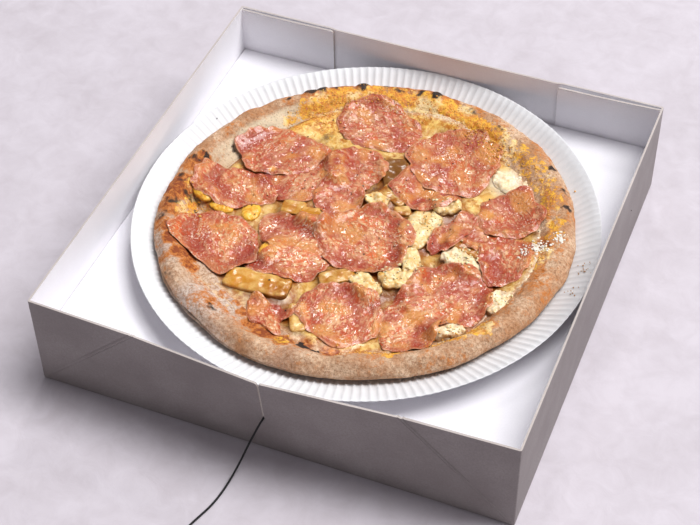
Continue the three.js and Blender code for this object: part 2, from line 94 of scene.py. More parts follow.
def finishMaterial(tree, height, strength, depth, look):
    # what every finish ends with: its relief, of a depth in millimetres, and its gloss
    bump = addNode(tree, "Bump", {"Strength": strength, "Distance": depth * mm, "Height": height})
    surface = addNode(tree, "BsdfPrincipled", {**look, "Normal": bump.outputs[0]})
    addNode(tree, "OutputMaterial", {"Surface": surface.outputs[0]})


def activate(piece):
    if bpy.context.object and bpy.context.object.mode != "OBJECT":
        bpy.ops.object.mode_set(mode="OBJECT")
    bpy.ops.object.select_all(action="DESELECT")
    piece.select_set(True)
    bpy.context.view_layer.objects.active = piece


def started(name):
    # the primitive that was just added, named, with its place and size in its mesh
    piece = bpy.context.object
    piece.name = name
    piece.data.name = name
    activate(piece)
    bpy.ops.object.transform_apply(location=True, rotation=True, scale=True)
    return piece


def applyModifier(piece, kind, **settings):
    activate(piece)
    modifier = piece.modifiers.new(kind.lower(), kind)
    for name, value in settings.items():
        setattr(modifier, name, value)
    bpy.ops.object.modifier_apply(modifier=modifier.name)


def pick(piece, kind, test):
    # into edit mode with the faces, edges or points selected that pass the test
    activate(piece)
    bpy.ops.object.mode_set(mode="EDIT")
    bpy.ops.mesh.select_mode(type=kind)
    bpy.ops.mesh.select_all(action="DESELECT")
    bpy.ops.object.mode_set(mode="OBJECT")
    points = piece.data.vertices
    if kind == "FACE":
        for face in piece.data.polygons:
            face.select = test(face.center, face.normal)
    elif kind == "EDGE":
        for edge in piece.data.edges:
            a, b = edge.vertices
            edge.select = test(points[a].co, points[b].co)
    else:
        for point in points:
            point.select = test(point.co)
    bpy.ops.object.mode_set(mode="EDIT")


def cut(piece, test, place, normal):
    # a straight cut through the faces that pass the test
    pick(piece, "FACE", test)
    bpy.ops.mesh.bisect(plane_co=[c * mm for c in place], plane_no=normal)
    bpy.ops.object.mode_set(mode="OBJECT")


def readPoints(piece):
    points = np.empty(len(piece.data.vertices) * 3)
    piece.data.vertices.foreach_get("co", points)
    return points.reshape(-1, 3)


def writePoints(piece, points):
    piece.data.vertices.foreach_set("co", np.ascontiguousarray(points, dtype=np.float32).ravel())
    piece.data.update()


def addValues(piece, **values):
    # for each name a number at each point, which the material reads by that name
    for name, numbers in values.items():
        attribute = piece.data.attributes.new(name, "FLOAT", "POINT")
        attribute.data.foreach_set("value", np.ascontiguousarray(numbers, dtype=np.float32))


def ramp(low, high, value):
    # 0 below low, 1 above high, and smooth between
    t = np.clip((value - low) / (high - low), 0, 1)
    return t * t * (3 - 2 * t)


def noiseAt(points, size, seed=0):
    # smooth noise between about -1 and 1, whose lumps are about size millimetres across
    shift = Vector((seed * 7.31, seed * 3.17, seed * 5.77))
    scale = 1 / (size * mm)
    return np.array([noise.noise(Vector(p) * scale + shift) for p in points])


def plan(x, y, z=0):
    # places in millimetres as points in metres
    return np.column_stack(np.broadcast_arrays(x, y, z)) * mm


def turned(x, y, angle):
    return x * math.cos(angle) - y * math.sin(angle), x * math.sin(angle) + y * math.cos(angle)


def turnRound(name, profile, segments, middle=(0, 0)):
    # a closed round piece: a circle is extruded ring by ring along the profile of (radius, height)
    bpy.ops.object.select_all(action="DESELECT")
    radius, height = profile[0]
    at = (middle[0] * mm, middle[1] * mm, height * mm)
    bpy.ops.mesh.primitive_circle_add(vertices=segments, radius=radius * mm, location=at)
    piece = started(name)
    bpy.ops.object.mode_set(mode="EDIT")
    bpy.ops.mesh.select_mode(type="VERT")
    bpy.ops.mesh.select_all(action="SELECT")
    for nextRadius, nextHeight in profile[1:]:
        rise = (nextHeight - height) * mm
        grow = nextRadius / radius
        bpy.ops.mesh.extrude_region_move(TRANSFORM_OT_translate={"value": (0, 0, rise)})
        bpy.ops.transform.resize(value=(grow, grow, 1), center_override=(at[0], at[1], nextHeight * mm))
        radius, height = nextRadius, nextHeight
    bpy.ops.mesh.merge(type="CENTER")
    bpy.ops.object.mode_set(mode="OBJECT")
    inner = profile[0][0] * 1.01 * mm
    base = profile[0][1] * mm
    nearly = 0.001 * mm
    pick(piece, "VERT", lambda p: math.hypot(p.x - at[0], p.y - at[1]) < inner and abs(p.z - base) < nearly)
    bpy.ops.mesh.merge(type="CENTER")
    bpy.ops.mesh.select_all(action="SELECT")
    bpy.ops.mesh.normals_make_consistent(inside=False)
    bpy.ops.object.mode_set(mode="OBJECT")
    bpy.ops.object.shade_smooth()
    return piece


def between(points, steps):
    # a smooth line through the points, with the given number of steps from each to the next
    line = []
    ends = [points[0]] + list(points) + [points[-1]]
    for k in range(len(points) - 1):
        p0, p1, p2, p3 = (np.array(p, dtype=float) for p in ends[k:k + 4])
        for t in np.arange(steps[k]) / steps[k]:
            curve = 2 * p1 + (p2 - p0) * t + (2 * p0 - 5 * p1 + 4 * p2 - p3) * t ** 2
            line.append(tuple((curve + (3 * p1 - p0 - 3 * p2 + p3) * t ** 3) / 2))
    return line + [tuple(points[-1])]


def copyOf(piece, name):
    twin = bpy.data.objects.new(name, piece.data.copy())
    twin.data.name = name
    bpy.context.scene.collection.objects.link(twin)
    return twin


def dress(piece, material, slotName, *nodes):
    # what every finished piece gets: its finish, its body, and the nodes that it stands for
    if material:
        piece.data.materials.clear()
        piece.data.materials.append(material)
    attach(piece, "root")
    if nodes:
        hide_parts(*nodes)
    return piece


# ---- camera

viewpoint = {
    "azimuth": 22.641,
    "elevation": 45.912,
    "roll": -1.011,
    "distance": 1023.44,
    "target": (-12.018, 7.231, 0),
    "focalPixels": 1657.812,
    "imageWidth": 700,
    "sensor": 36,
}


def makeCamera():
    azimuth, elevation, roll = (math.radians(viewpoint[k]) for k in ("azimuth", "elevation", "roll"))
    back = Vector((
        math.sin(azimuth) * math.cos(elevation),
        -math.cos(azimuth) * math.cos(elevation),
        math.sin(elevation),
    ))
    right = Vector((0, 0, 1)).cross(back).normalized()
    up = back.cross(right)
    across = right * math.cos(roll) + up * math.sin(roll)
    upright = up * math.cos(roll) - right * math.sin(roll)
    place = Vector(viewpoint["target"]) * mm + back * viewpoint["distance"] * mm
    bpy.ops.object.camera_add(location=place)
    camera = bpy.context.object
    camera.matrix_world = Matrix.Translation(place) @ Matrix((across, upright, back)).transposed().to_4x4()
    camera.data.sensor_width = viewpoint["sensor"]
    camera.data.lens = viewpoint["focalPixels"] / viewpoint["imageWidth"] * viewpoint["sensor"]
    bpy.context.scene.camera = camera


makeCamera()
print("camera set")


# ---- the cord that ties the tray

cord = {
    "diameter": 1.2,
    "route": [
        (0, -141.8, 31.25), (0, -144.6, 31.75), (0, -147.4, 31.9), (-0.8, -149.2, 30.3),
        (-2.1, -150.6, 27), (-3.8, -152.7, 22.3), (-5.6, -155.1, 17.3), (-7.4, -158.3, 11.6),
        (-8.9, -162.3, 6.8), (-10.2, -167.6, 3.1), (-11.1, -173.7, 1.2), (-11.8, -180.2, 0.65),
        (-12.8, -186.8, 0.65), (-14, -191.9, 0.65), (-15.5, -196.5, 0.65), (-17, -200.9, 0.65),
        (-18.4, -205.2, 0.65), (-20, -210, 0.65), (-21.5, -214.8, 0.65),
    ],
    "coilMiddle": (-13.6, -219.5),
    "outerTurn": 8.4,
    "turnsUp": 4,  # turns in each of the coil's three layers
    "layers": 3,
    "stepsInTurn": 24,
    "knotRadius": 1.9,
    "knotHeight": 3.2,
    "knotPlace": (-2.35, -219.5),
}


def cordMaterial():
    # waxed cotton twine: spun strands that catch a little light along their twist
    material, tree = newMaterial("waxedCottonTwine")
    coords = addNode(tree, "TexCoord").outputs["UV"]
    twist = addNode(tree, "Mapping", {"Vector": coords, "Rotation": (0, 0, 0.6), "Scale": (1500, 6, 1)})
    wave = addNode(tree, "TexWave", {"Vector": twist.outputs[0], "Scale": 1, "Distortion": 0.6})
    strand = wave.outputs["Fac"]
    colour = paint(tree, {}, [], [("black", strand, "#0B0B0D", "#1C1B1E")])
    finishMaterial(tree, strand, 0.5, 0.2, {"Base Color": colour, "Roughness": 0.62})
    return material


def cordLine():
    # the given route, then the coil: up the outer layer, down the next and up the inner one
    line = [Vector(p) for p in cord["route"]]
    middleX, middleY = cord["coilMiddle"]
    pitch = cord["diameter"]
    low = cord["route"][-1][2]
    angle = math.pi
    radius, height = cord["outerTurn"], low
    climb = 1
    steps = cord["stepsInTurn"]

    def lay():
        line.append(Vector((middleX + radius * math.cos(angle), middleY + radius * math.sin(angle), height)))

    lay()
    for layer in range(cord["layers"]):
        for _ in range(cord["turnsUp"] * steps):
            angle += 2 * math.pi / steps
            height += climb * pitch / steps
            lay()
        climb = -climb
        if layer < cord["layers"] - 1:
            for _ in range(steps // 4):  # over to the next layer in a quarter turn
                angle += 2 * math.pi / steps
                radius -= pitch / (steps // 4)
                lay()
    # the free end crosses over the coil and drops to its knot
    knotX, knotY = cord["knotPlace"]
    reach = knotX - middleX
    across = [(0.12, 0.9), (0.3, 1.25), (0.5, 1.3), (0.68, 1.15), (0.84, 0.2), (0.94, -0.9), (1, -2.1)]
    turnLeft = (2 * math.pi - angle % (2 * math.pi)) % (2 * math.pi)
    startRadius, startAngle, startHeight = radius, angle, height
    for part, lift in across:
        angle = startAngle + turnLeft * part
        radius = startRadius + (reach - startRadius) * part
        height = startHeight + lift
        lay()
    return line


def newCord(name):
    # a round cord that has no course yet
    curve = bpy.data.curves.new(name, "CURVE")
    curve.dimensions = "3D"
    curve.bevel_depth = cord["diameter"] / 2 * mm
    curve.bevel_resolution = 3
    piece = bpy.data.objects.new(name, curve)
    bpy.context.scene.collection.objects.link(piece)
    return piece, curve


def makeKnot():
    # an overhand knot, pulled tight: one strand that passes three times round itself
    steps = 60
    width = cord["knotRadius"] - cord["diameter"] / 2
    rise = cord["knotHeight"] / 2 - cord["diameter"] / 2
    knot, line = newCord("cordKnot")
    spline = line.splines.new("POLY")
    spline.points.add(steps - 1)
    spline.use_cyclic_u = True
    knotX, knotY = cord["knotPlace"]
    for k, point in enumerate(spline.points):
        t = 2 * math.pi * k / steps
        x = knotX + width * (math.sin(t) + 2 * math.sin(2 * t)) / 3
        y = knotY + width * (math.cos(t) - 2 * math.cos(2 * t)) / 3
        z = cord["knotHeight"] / 2 - rise * math.sin(3 * t)
        point.co = (x * mm, y * mm, z * mm, 1)
    activate(knot)
    bpy.ops.object.convert(target="MESH")
    bpy.ops.object.shade_smooth()
    return knot


def makeCord():
    points = cordLine()
    piece, curve = newCord("tieCord")
    curve.resolution_u = 4
    curve.use_fill_caps = True
    spline = curve.splines.new("BEZIER")
    spline.bezier_points.add(len(points) - 1)
    for bezier, point in zip(spline.bezier_points, points):
        bezier.co = point * mm
        bezier.handle_left_type = bezier.handle_right_type = "AUTO"
    material = cordMaterial()
    knot = dress(makeKnot(), material, "cord", "cord_knot")
    dress(piece, material, "cord", "cord_lead", "cord_coil")


makeCord()
print("cord laid")


# ---- board tray

tray = {
    "width": 286,
    "height": 65,
    "board": 1.2,
    "foldRadius": 1.0,
    "creaseBulge": 2.3,  # how far the front wall leans out at its top where the creases end
    "middleBulge": 8.5,  # and beside the slit
    "slitBottom": 30.6,
    "slitWidth": 0.8,
    "cordHole": 1.5,
    "notchWidth": 2.6,
    "notchDepth": 2.4,
    "creaseLines": (-1.5, -1.05, -0.6, 0, 0.6, 1.05, 1.5),  # across the crease: a bead between two grooves
    "creaseDepths": (0, -0.32, 0, 0.22, 0, -0.32, 0),
    "edgeRound": 0.15,
    "frontCuts": (-60, -45, -30, -15, 0, 15, 30, 45, 60),  # where the front wall can bend
    "backCuts": (-79, -77, -75, -73, 73, 75, 77, 79),
    "backStep": 0.9,  # how far the back wall stands in between the tabs
    "backStepStart": 74,
    "backStepEnd": 79,
}

tab = {
    "start": 76.2,  # its loose edge, from the middle of the back wall
    "cornerRadius": 2.2,
    "low": 20,
    "drop": 0.7,  # below the wall's top
    "overrun": 0.3,  # how far its end runs into the side wall
    "gap": 0.55,
    "bow": 0.5,
    "leans": {1: 2, -1: 0},  # how far the right and the left one's loose edges stand off the wall
    "glued": 34,  # up to this height it lies flat
    "edgeRound": 0.12,
}


def boardMaterial(name, light, dark, roughness):
    # folding box board: clay-coated on the face, with a faint cloudiness from the pulp under it
    material, tree = newMaterial(name)
    coords = addNode(tree, "TexCoord").outputs["Object"]
    cloud = addNode(tree, "TexNoise", {"Vector": coords, "Scale": 1000 / 26, "Detail": 3}).outputs["Fac"]
    fibre = addNode(tree, "TexNoise", {
        "Vector": coords, "Scale": 1000 / 1.1, "Detail": 4, "Roughness": 0.7,
    }).outputs["Fac"]
    both = addNode(tree, "Math", {0: cloud, 1: fibre}, operation="MULTIPLY").outputs[0]
    colour = paint(tree, {}, [("cloudy", both, 0.1, 0.42, 0, 1)], [("board", "cloudy", dark, light)])
    finishMaterial(tree, fibre, 0.25, 0.1, {"Base Color": colour, "Roughness": roughness})
    return material


# the outside is a greyer board than the inside, and is made darker still as painted shade for the walls that
# face away from the lamps
boardOutsideShaded = boardMaterial("coatedBoardOutsideShaded", "#9C9493", "#857C7B", 0.62)
boardInside = boardMaterial("coatedBoardInside", "#F8F6FA", "#F1EEF3", 0.6)
boardEdge = boardMaterial("cutBoardEdge", "#C9C0BC", "#B3A9A5", 0.9)


def onFront(centre, normal):
    return normal.y < -0.9


def onBack(centre, normal):
    return normal.y > 0.9


def foldTray():
    # an open box with soft folds round its floor
    half, height = tray["width"] / 2, tray["height"]
    bpy.ops.object.select_all(action="DESELECT")
    bpy.ops.mesh.primitive_cube_add(size=1, location=(0, 0, height / 2 * mm))
    bpy.context.object.scale = (2 * half * mm, 2 * half * mm, height * mm)
    piece = started("boardTray")
    pick(piece, "FACE", lambda c, n: n.z > 0.9)
    bpy.ops.mesh.delete(type="FACE")
    pick(piece, "EDGE", lambda a, b: min(a.z, b.z) < 1 * mm)
    bpy.ops.mesh.bevel(offset=tray["foldRadius"] * mm, segments=3, profile=0.5)
    bpy.ops.object.mode_set(mode="OBJECT")
    return piece


def cutSlit(piece):
    # the front wall's slit, with a notch above it and a hole for the cord below
    half, height = tray["width"] / 2, tray["height"]
    notchLow = height - tray["notchDepth"]
    holeTop = tray["slitBottom"] + tray["cordHole"]
    slit, hole, notch = tray["slitWidth"] / 2, tray["cordHole"] / 2, tray["notchWidth"] / 2
    for x in (slit, hole, notch, -slit, -hole, -notch):
        cut(piece, onFront, (x, -half, 0), (1, 0, 0))
    for z in (tray["slitBottom"], holeTop, notchLow):
        cut(piece, onFront, (0, -half, z), (0, 0, 1))
    for side in (1, -1):
        cut(piece, lambda c, n: onFront(c, n) and c.z > notchLow * mm, (side * notch, -half, height),
            (side * tray["notchDepth"], 0, slit - notch))

    def isOpen(centre, normal):
        x, z = abs(centre.x) / mm, centre.z / mm
        inHole = tray["slitBottom"] < z < holeTop and x < hole
        inCut = z > holeTop and x < slit
        inNotch = z > notchLow and x < slit + (notch - slit) * (z - notchLow) / tray["notchDepth"]
        return onFront(centre, normal) and (inHole or inCut or inNotch)

    pick(piece, "FACE", isOpen)
    bpy.ops.mesh.delete(type="FACE")
    bpy.ops.object.mode_set(mode="OBJECT")


def bendWalls(piece):
    # the front wall leans out between the two creases, most of all beside the slit
    half, height = tray["width"] / 2, tray["height"]
    points = readPoints(piece) / mm
    front, rear = points[:, 1] < -half + 0.01, points[:, 1] > half - 0.01
    x, z = np.abs(points[:, 0]), points[:, 2]
    nearSlit = np.clip(1 - x / (half - height), 0, 1)
    middle = tray["creaseBulge"] + (tray["middleBulge"] - tray["creaseBulge"]) * nearSlit
    corner = tray["creaseBulge"] * np.clip(half - x, 0, None) / height
    out = np.where(x < half - z, middle * z / height, corner)
    across = (x + z - half) / math.sqrt(2)
    fade = ramp(2, 9, z) * ramp(-0.2, 0.1, noiseAt(points * (0.5, 0, 0.5) * mm, 6, 3) + 0.25)
    groove = np.interp(across, tray["creaseLines"], tray["creaseDepths"], left=0, right=0)
    points[:, 1] -= np.where(front, out + groove * fade, 0)
    # between the tabs the back wall stands a board's thickness further in
    step = tray["backStep"] * ramp(tray["backStepEnd"], tray["backStepStart"], x) * ramp(20, height, z)
    points[:, 1] -= np.where(rear, step, 0)
    writePoints(piece, points * mm)


def thicken(piece, edgeRound, smoothAngle, **settings):
    applyModifier(piece, "SOLIDIFY", thickness=tray["board"] * mm, use_even_offset=True, **settings)
    applyModifier(piece, "BEVEL", width=edgeRound * mm, segments=1, limit_method="ANGLE",
                  angle_limit=math.radians(60))
    activate(piece)
    bpy.ops.object.shade_smooth_by_angle(angle=math.radians(smoothAngle))


def makeTray():
    half = tray["width"] / 2
    piece = foldTray()
    cutSlit(piece)
    for side in (1, -1):  # the slanting creases are marked on the front wall by parallel cuts
        for offset in tray["creaseLines"]:
            reach = half + offset * math.sqrt(2)
            cut(piece, lambda c, n: onFront(c, n) and c.x * side > 0, (side * reach, -half, 0), (side, 0, 1))
    for x in tray["frontCuts"]:
        cut(piece, onFront, (x + 0.004, -half, 0), (1, 0, 0))
    for x in tray["backCuts"]:
        cut(piece, onBack, (x, half, 0), (1, 0, 0))
    bendWalls(piece)
    for finish in (boardOutsideShaded, boardInside, boardEdge):
        piece.data.materials.append(finish)
    thicken(piece, tray["edgeRound"], 22, offset=-1, material_offset=1, material_offset_rim=2)
    return dress(piece, None, "tray_board", "box_tray")


def makeTab(side, lean):
    # a glue tab: its loose top corner is round, and it stands a little off the back wall
    height, half = tray["height"], tray["width"] / 2
    outer = half - tray["board"] + tab["overrun"]
    low, top = tab["low"], height - tab["drop"]
    wide = outer - tab["start"]
    bpy.ops.object.select_all(action="DESELECT")
    middle = (side * (tab["start"] + wide / 2) * mm, 0, (low + top) / 2 * mm)
    bpy.ops.mesh.primitive_plane_add(size=1, rotation=(math.pi / 2, 0, 0), location=middle)
    bpy.context.object.scale = (wide * mm, (top - low) * mm, 1)
    piece = started("glueTabRight" if side > 0 else "glueTabLeft")
    corner = side * tab["start"] * mm
    pick(piece, "VERT", lambda p: abs(p.x - corner) < 0.1 * mm and p.z > (top - 1) * mm)
    bpy.ops.mesh.bevel(offset=tab["cornerRadius"] * mm, segments=6, affect="VERTICES")
    bpy.ops.object.mode_set(mode="OBJECT")
    for x in np.linspace(tab["start"] + 4, outer - 3, 9):
        cut(piece, lambda c, n: True, (side * x, 0, 0), (1, 0, 0))
    for z in np.linspace(low + 8, top - 6, 5):
        cut(piece, lambda c, n: True, (0, 0, z), (0, 0, 1))
    points = readPoints(piece) / mm
    loose = np.clip((outer - np.abs(points[:, 0])) / wide, 0, 1)
    standOff = lean * loose + tab["bow"] * np.sin(loose * math.pi)
    points[:, 1] = half - tray["board"] - tab["gap"] - standOff * ramp(tab["glued"], height, points[:, 2])
    writePoints(piece, points * mm)
    if sum(face.normal.y * face.area for face in piece.data.polygons) > 0:
        pick(piece, "FACE", lambda c, n: True)
        bpy.ops.mesh.flip_normals()
        bpy.ops.object.mode_set(mode="OBJECT")
    for finish in (boardInside, boardEdge):
        piece.data.materials.append(finish)
    thicken(piece, tab["edgeRound"], 30, offset=1, material_offset_rim=1)
    return dress(piece, None, "tray_board")


makeTray()
for side, lean in tab["leans"].items():
    makeTab(side, lean)
print("tray folded")


# ---- raised floor

card = {"edgeRadius": 0.9, "cuts": 30, "bow": 0.35, "bowLength": 90, "flatEdge": 30}


def makeFloorCard():
    low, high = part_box("raised_floor")
    bpy.ops.object.select_all(action="DESELECT")
    bpy.ops.mesh.primitive_cube_add(size=1, location=(low + high) / 2)
    bpy.context.object.scale = high - low
    piece = started("floorCard")
    pick(piece, "EDGE", lambda a, b: min(a.z, b.z) > high.z - 1 * mm)
    bpy.ops.mesh.bevel(offset=card["edgeRadius"] * mm, segments=3, profile=0.5)
    pick(piece, "FACE", lambda c, n: n.z > 0.99)
    bpy.ops.mesh.subdivide(number_cuts=card["cuts"])
    bpy.ops.object.mode_set(mode="OBJECT")
    points = readPoints(piece)
    x, y = points[:, 0], points[:, 1]
    edge = np.minimum(high.x - np.abs(x), np.minimum(high.y - y, y - low.y)) / mm
    sag = card["bow"] * (0.5 + 0.5 * noiseAt(points, card["bowLength"], 5)) * ramp(1, card["flatEdge"], edge)
    points[:, 2] -= np.where(points[:, 2] > high.z - 0.01 * mm, sag * mm, 0)
    writePoints(piece, points)
    activate(piece)
    bpy.ops.object.shade_smooth_by_angle(angle=math.radians(40))
    return dress(piece, boardMaterial("coatedCardFloor", "#E9E7EC", "#E1DFE5", 0.55), "insert_board",
                 "raised_floor")


makeFloorCard()
print("raised floor laid")


# ---- paper plate

plate = {
    "middle": (0.6, 1.6),
    "flatRadius": 110,
    "radius": 139,
    "paper": 0.6,
    "top": 32.9,
    "rise": 16,
    "tilt": (1.5, 2),
    "flutes": 174,
    "fluteDepth": 0.42,
}


def plateRise(angle):
    return plate["rise"] + plate["tilt"][0] * np.cos(angle) + plate["tilt"][1] * np.sin(angle)


def plateHeight(x, y):
    # the plate's upper face without its flutes
    dx, dy = x - plate["middle"][0], y - plate["middle"][1]
    climb = np.clip((np.hypot(dx, dy) - plate["flatRadius"]) / (plate["radius"] - plate["flatRadius"]), 0, 1)
    return plate["top"] + climb * plateRise(np.arctan2(dy, dx))


def paperMaterial():
    # uncoated pulp board, pressed with a matt clay face: white, with a soft mottle of fibre clumps
    material, tree = newMaterial("pressedPulpPaper")
    coords = addNode(tree, "TexCoord").outputs["Object"]
    clump = addNode(tree, "TexNoise", {
        "Vector": coords, "Scale": 1000 / 7, "Detail": 5, "Roughness": 0.6,
    }).outputs["Fac"]
    fibre = addNode(tree, "TexNoise", {"Vector": coords, "Scale": 1000 / 0.9, "Detail": 2}).outputs["Fac"]
    colour = paint(tree, {}, [], [("paper", clump, "#D8D8DA", "#E6E6E9")])
    finishMaterial(tree, fibre, 0.3, 0.1, {"Base Color": colour, "Roughness": 0.58})
    return material


def makePlate():
    flat, rim, top, paper = plate["flatRadius"], plate["radius"], plate["top"], plate["paper"]
    over = [(2, top), (40, top), (80, top), (flat - 6, top), (flat - 3, top)]
    over += [(r, top + 0.1) for r in np.linspace(flat - 1, rim - 1.2, 26)]
    over += [(rim - 0.4, top), (rim, top - 0.2)]
    under = [(r, top - paper) for r, _ in reversed(over[:-2])]
    piece = turnRound("paperPlate", over + under, plate["flutes"] * 6, plate["middle"])
    points = readPoints(piece) / mm
    dx, dy = points[:, 0] - plate["middle"][0], points[:, 1] - plate["middle"][1]
    radius, angle = np.hypot(dx, dy), np.arctan2(dy, dx)
    climb = np.clip((radius - flat + 1.5) / (rim - flat + 1.5), 0, 1)
    slope = climb ** 1.12 - 0.035 * ramp(0.86, 1, climb)  # a soft foot, and a lip that turns over
    pleat = 1 - 2 * np.abs(np.cos(angle * plate["flutes"] / 2)) ** 0.7
    flute = plate["fluteDepth"] * pleat * ramp(0.06, 0.3, climb) * (1 - 0.6 * ramp(0.93, 1, climb))
    dents = 0.35 * noiseAt(points * mm, 22, 8) * ramp(0.2, 0.8, climb)
    points[:, 2] += slope * plateRise(angle) + flute + dents
    writePoints(piece, points * mm)
    return dress(piece, paperMaterial(), "plate_paper", "paper_plate")


makePlate()
print("plate pressed")


# ---- dough

dough = {
    "middle": (-0.5, 1.5),
    "segments": 880,
    "edge": [  # radius and height, from the middle over the rim and back under it
        (1.2, 38.5), (60, 38.5), (96, 38.6), (101, 39.6), (104.5, 41.8), (108.5, 46.2), (112, 49.3),
        (115.5, 50.6), (119, 49.8), (122.2, 46.9), (123.8, 44.2), (123.5, 41.9), (121.4, 40.2),
        (116, 37.5), (112, 35.2), (104, 33.6), (60, 33.6), (1.2, 33.6),
    ],
    "steps": [2, 10, 4, 5, 6, 6, 6, 6, 6, 5, 5, 4, 5, 3, 3, 1, 1],
    "banks": [  # where the rim is broad: angle, spread, radius, width and height of its inner slope
        (60, 100, 103.5, 7, 3.8), (-112, 42, 98.5, 7.5, 4.2),
    ],
    "crownDrop": 1.0,  # how much lower the rim's crown is where it is broad
    "stray": 0.028,  # how far the rim's inner edge strays, as a share of its radius
    "strayLength": 26,
    "swell": 0.9,
    "blisterRise": 1.8,
    "blisterReach": 1.2,
    "grains": {"big": (15, 1), "bubble": (6.5, 2), "grit": (1.5, 4)},  # lump size and seed
    "wrinkleSize": 3.1,
    "craterDepth": 0.9,
    "crackSize": 8,
    "crackDepth": 0.7,
    "crackRadius": 105.5,
    "paleAngle": 148,  # where the dough stayed pale
    "paleSpread": 24,
    "dustyAngle": -128,  # where flour still lies on it
    "dustySpread": 34,
    "creaseHeight": 43.2,  # where the side folds in above its foot
    "creaseAngle": -122,
    "creaseSpread": 42,
    "creaseDepth": 1.5,
    "clearance": 0.15,
}


def uneven(x, y, length):
    # a smooth uneven field between about -1 and 1
    u = 2 * math.pi / length
    across = np.sin(u * x + 1.1 * np.sin(0.61 * u * y + 0.4))
    along = np.sin(0.83 * u * y + 1.3 * np.sin(0.47 * u * x + 1.9))
    return (across + along) / 2


def outlineScale(angle, radius):
    swell = 0.0167 * np.sin(angle + 0.22) + 0.0113 * np.sin(2 * angle + 0.15)
    ripple = 0.0035 * np.sin(7 * angle + 1) + 0.002 * np.sin(13 * angle)
    return 1 + (swell + ripple) * ramp(92, 112, radius)


def spotsAt(x, y, spots):
    # how strongly soft round spots of (x, y, radius, strength) show at each point
    total = np.zeros(len(x))
    for spotX, spotY, reach, strength in spots:
        distance = np.hypot(x - spotX, y - spotY) / reach
        total = np.maximum(total, strength * (1 - ramp(0.55, 1.25, distance)))
    return total


charSpots = [
    (-73, 94, 5, 1), (-67, 98.5, 4, 1), (-44, 110.5, 4.5, 1), (4, 118, 3.5, 0.9), (-82.5, 81, 3, 0.7),
    (-60, 103, 3, 0.8), (-8, 118, 3, 0.7), (-20, 115, 4.5, 0.5), (92, 80, 3, 0.8), (50, 102, 3.5, 0.45),
    (-56, 111, 2.5, 0.7), (-101, 32.7, 2, 0.7),
    (111, 50, 2.6, 0.8), (-115, 9, 4, 0.6), (-110, 15, 3, 0.8), (-97.4, -24.5, 2.8, 0.85),
    (-111, -28, 5, 0.6), (-112, -42, 5, 0.5), (-106, -18, 4, 0.6), (-115, -8, 4, 0.5), (-53, -99, 3.6, 0.55),
    (-86, -83, 4, 0.35), (12, -101, 5, 1), (4, -100.5, 4, 0.9), (27, -96, 4, 0.7), (38, -97, 3, 0.5),
    (104, 62, 3, 0.5), (66, 95, 3.5, 0.4), (-30, 117, 3, 0.5), (30, 112, 4, 0.5), (-98, -62, 4, 0.3),
]

toastSpots = [
    (-88, -65, 8, 1), (-97, -56, 7, 1), (-80, -71, 6, 0.9), (-44, -84, 4, 0.8), (-54, -82, 4, 0.6),
    (-37, -90, 5, 0.8), (-20, -101, 8, 1), (-7, -104, 7, 1), (5, -99, 6, 1), (20, -100, 7, 1),
    (34, -96, 6, 0.9), (46, -93, 5, 0.8), (58, -89, 5, 0.6), (-103, -48, 6, 1), (-30, -97, 6, 0.9),
    (104, 16, 9, 0.9), (94, -56, 9, 0.8), (73, -91, 6, 0.4), (-111, -32, 9, 0.8), (-108, -48, 8, 0.7),
    (-114, -19, 10, 0.95), (-112, -11, 10, 0.95), (-115, 6, 8, 0.9), (-111, 12, 6, 0.8), (-95, -72, 6, 0.6),
    (-84, 80, 5, 0.5), (-71, 92, 9, 0.7), (-58, 104, 8, 0.9), (-44, 112, 8, 0.9), (-22, 119, 9, 0.9),
    (-2, 120, 9, 0.9), (13, 117, 8, 0.8), (30, 114, 8, 0.5), (51, 103, 8, 0.35), (67, 95, 7, 0.3),
    (86, 84, 8, 0.35), (104, 60, 8, 0.35), (112, 44, 8, 0.35), (116, 22, 6, 0.35), (-106, 40, 5, 0.4),
]

goldenSpots = [  # cheese that baked golden along the rim
    (-54, 74, 9, 0.6), (-58, 84, 8, 0.8), (0, 100, 9, 0.6), (52, 97, 8, 0.7), (60, 92, 7, 0.5),
    (-74, 68, 8, 0.7), (-66, 80, 10, 0.9), (-60, 92, 9, 0.95), (-48, 98, 10, 1), (-34, 106, 10, 1),
    (-20, 108, 10, 0.9), (-4, 111, 10, 0.9), (10, 109, 10, 1), (24, 106, 11, 1), (38, 98, 11, 1),
    (48, 90, 10, 1), (56, 84, 8, 0.9), (66, 88, 9, 0.55), (80, 78, 10, 0.45), (92, 66, 10, 0.4),
    (100, 52, 9, 0.4), (108, 36, 6, 0.6), (110, 26, 6, 0.6), (108, 10, 7, 0.5), (104, 4, 8, 0.5),
    (-99, -19, 8, 0.9), (-103, -30, 7, 0.7), (-108, -10, 5, 0.5), (92, -58, 9, 0.85), (80, -68, 8, 0.95),
    (72, -76, 6, 0.7), (38, -95, 7, 0.8), (28, -99, 6, 0.8), (52, -93, 6, 0.7), (-8, -104, 6, 0.4),
]


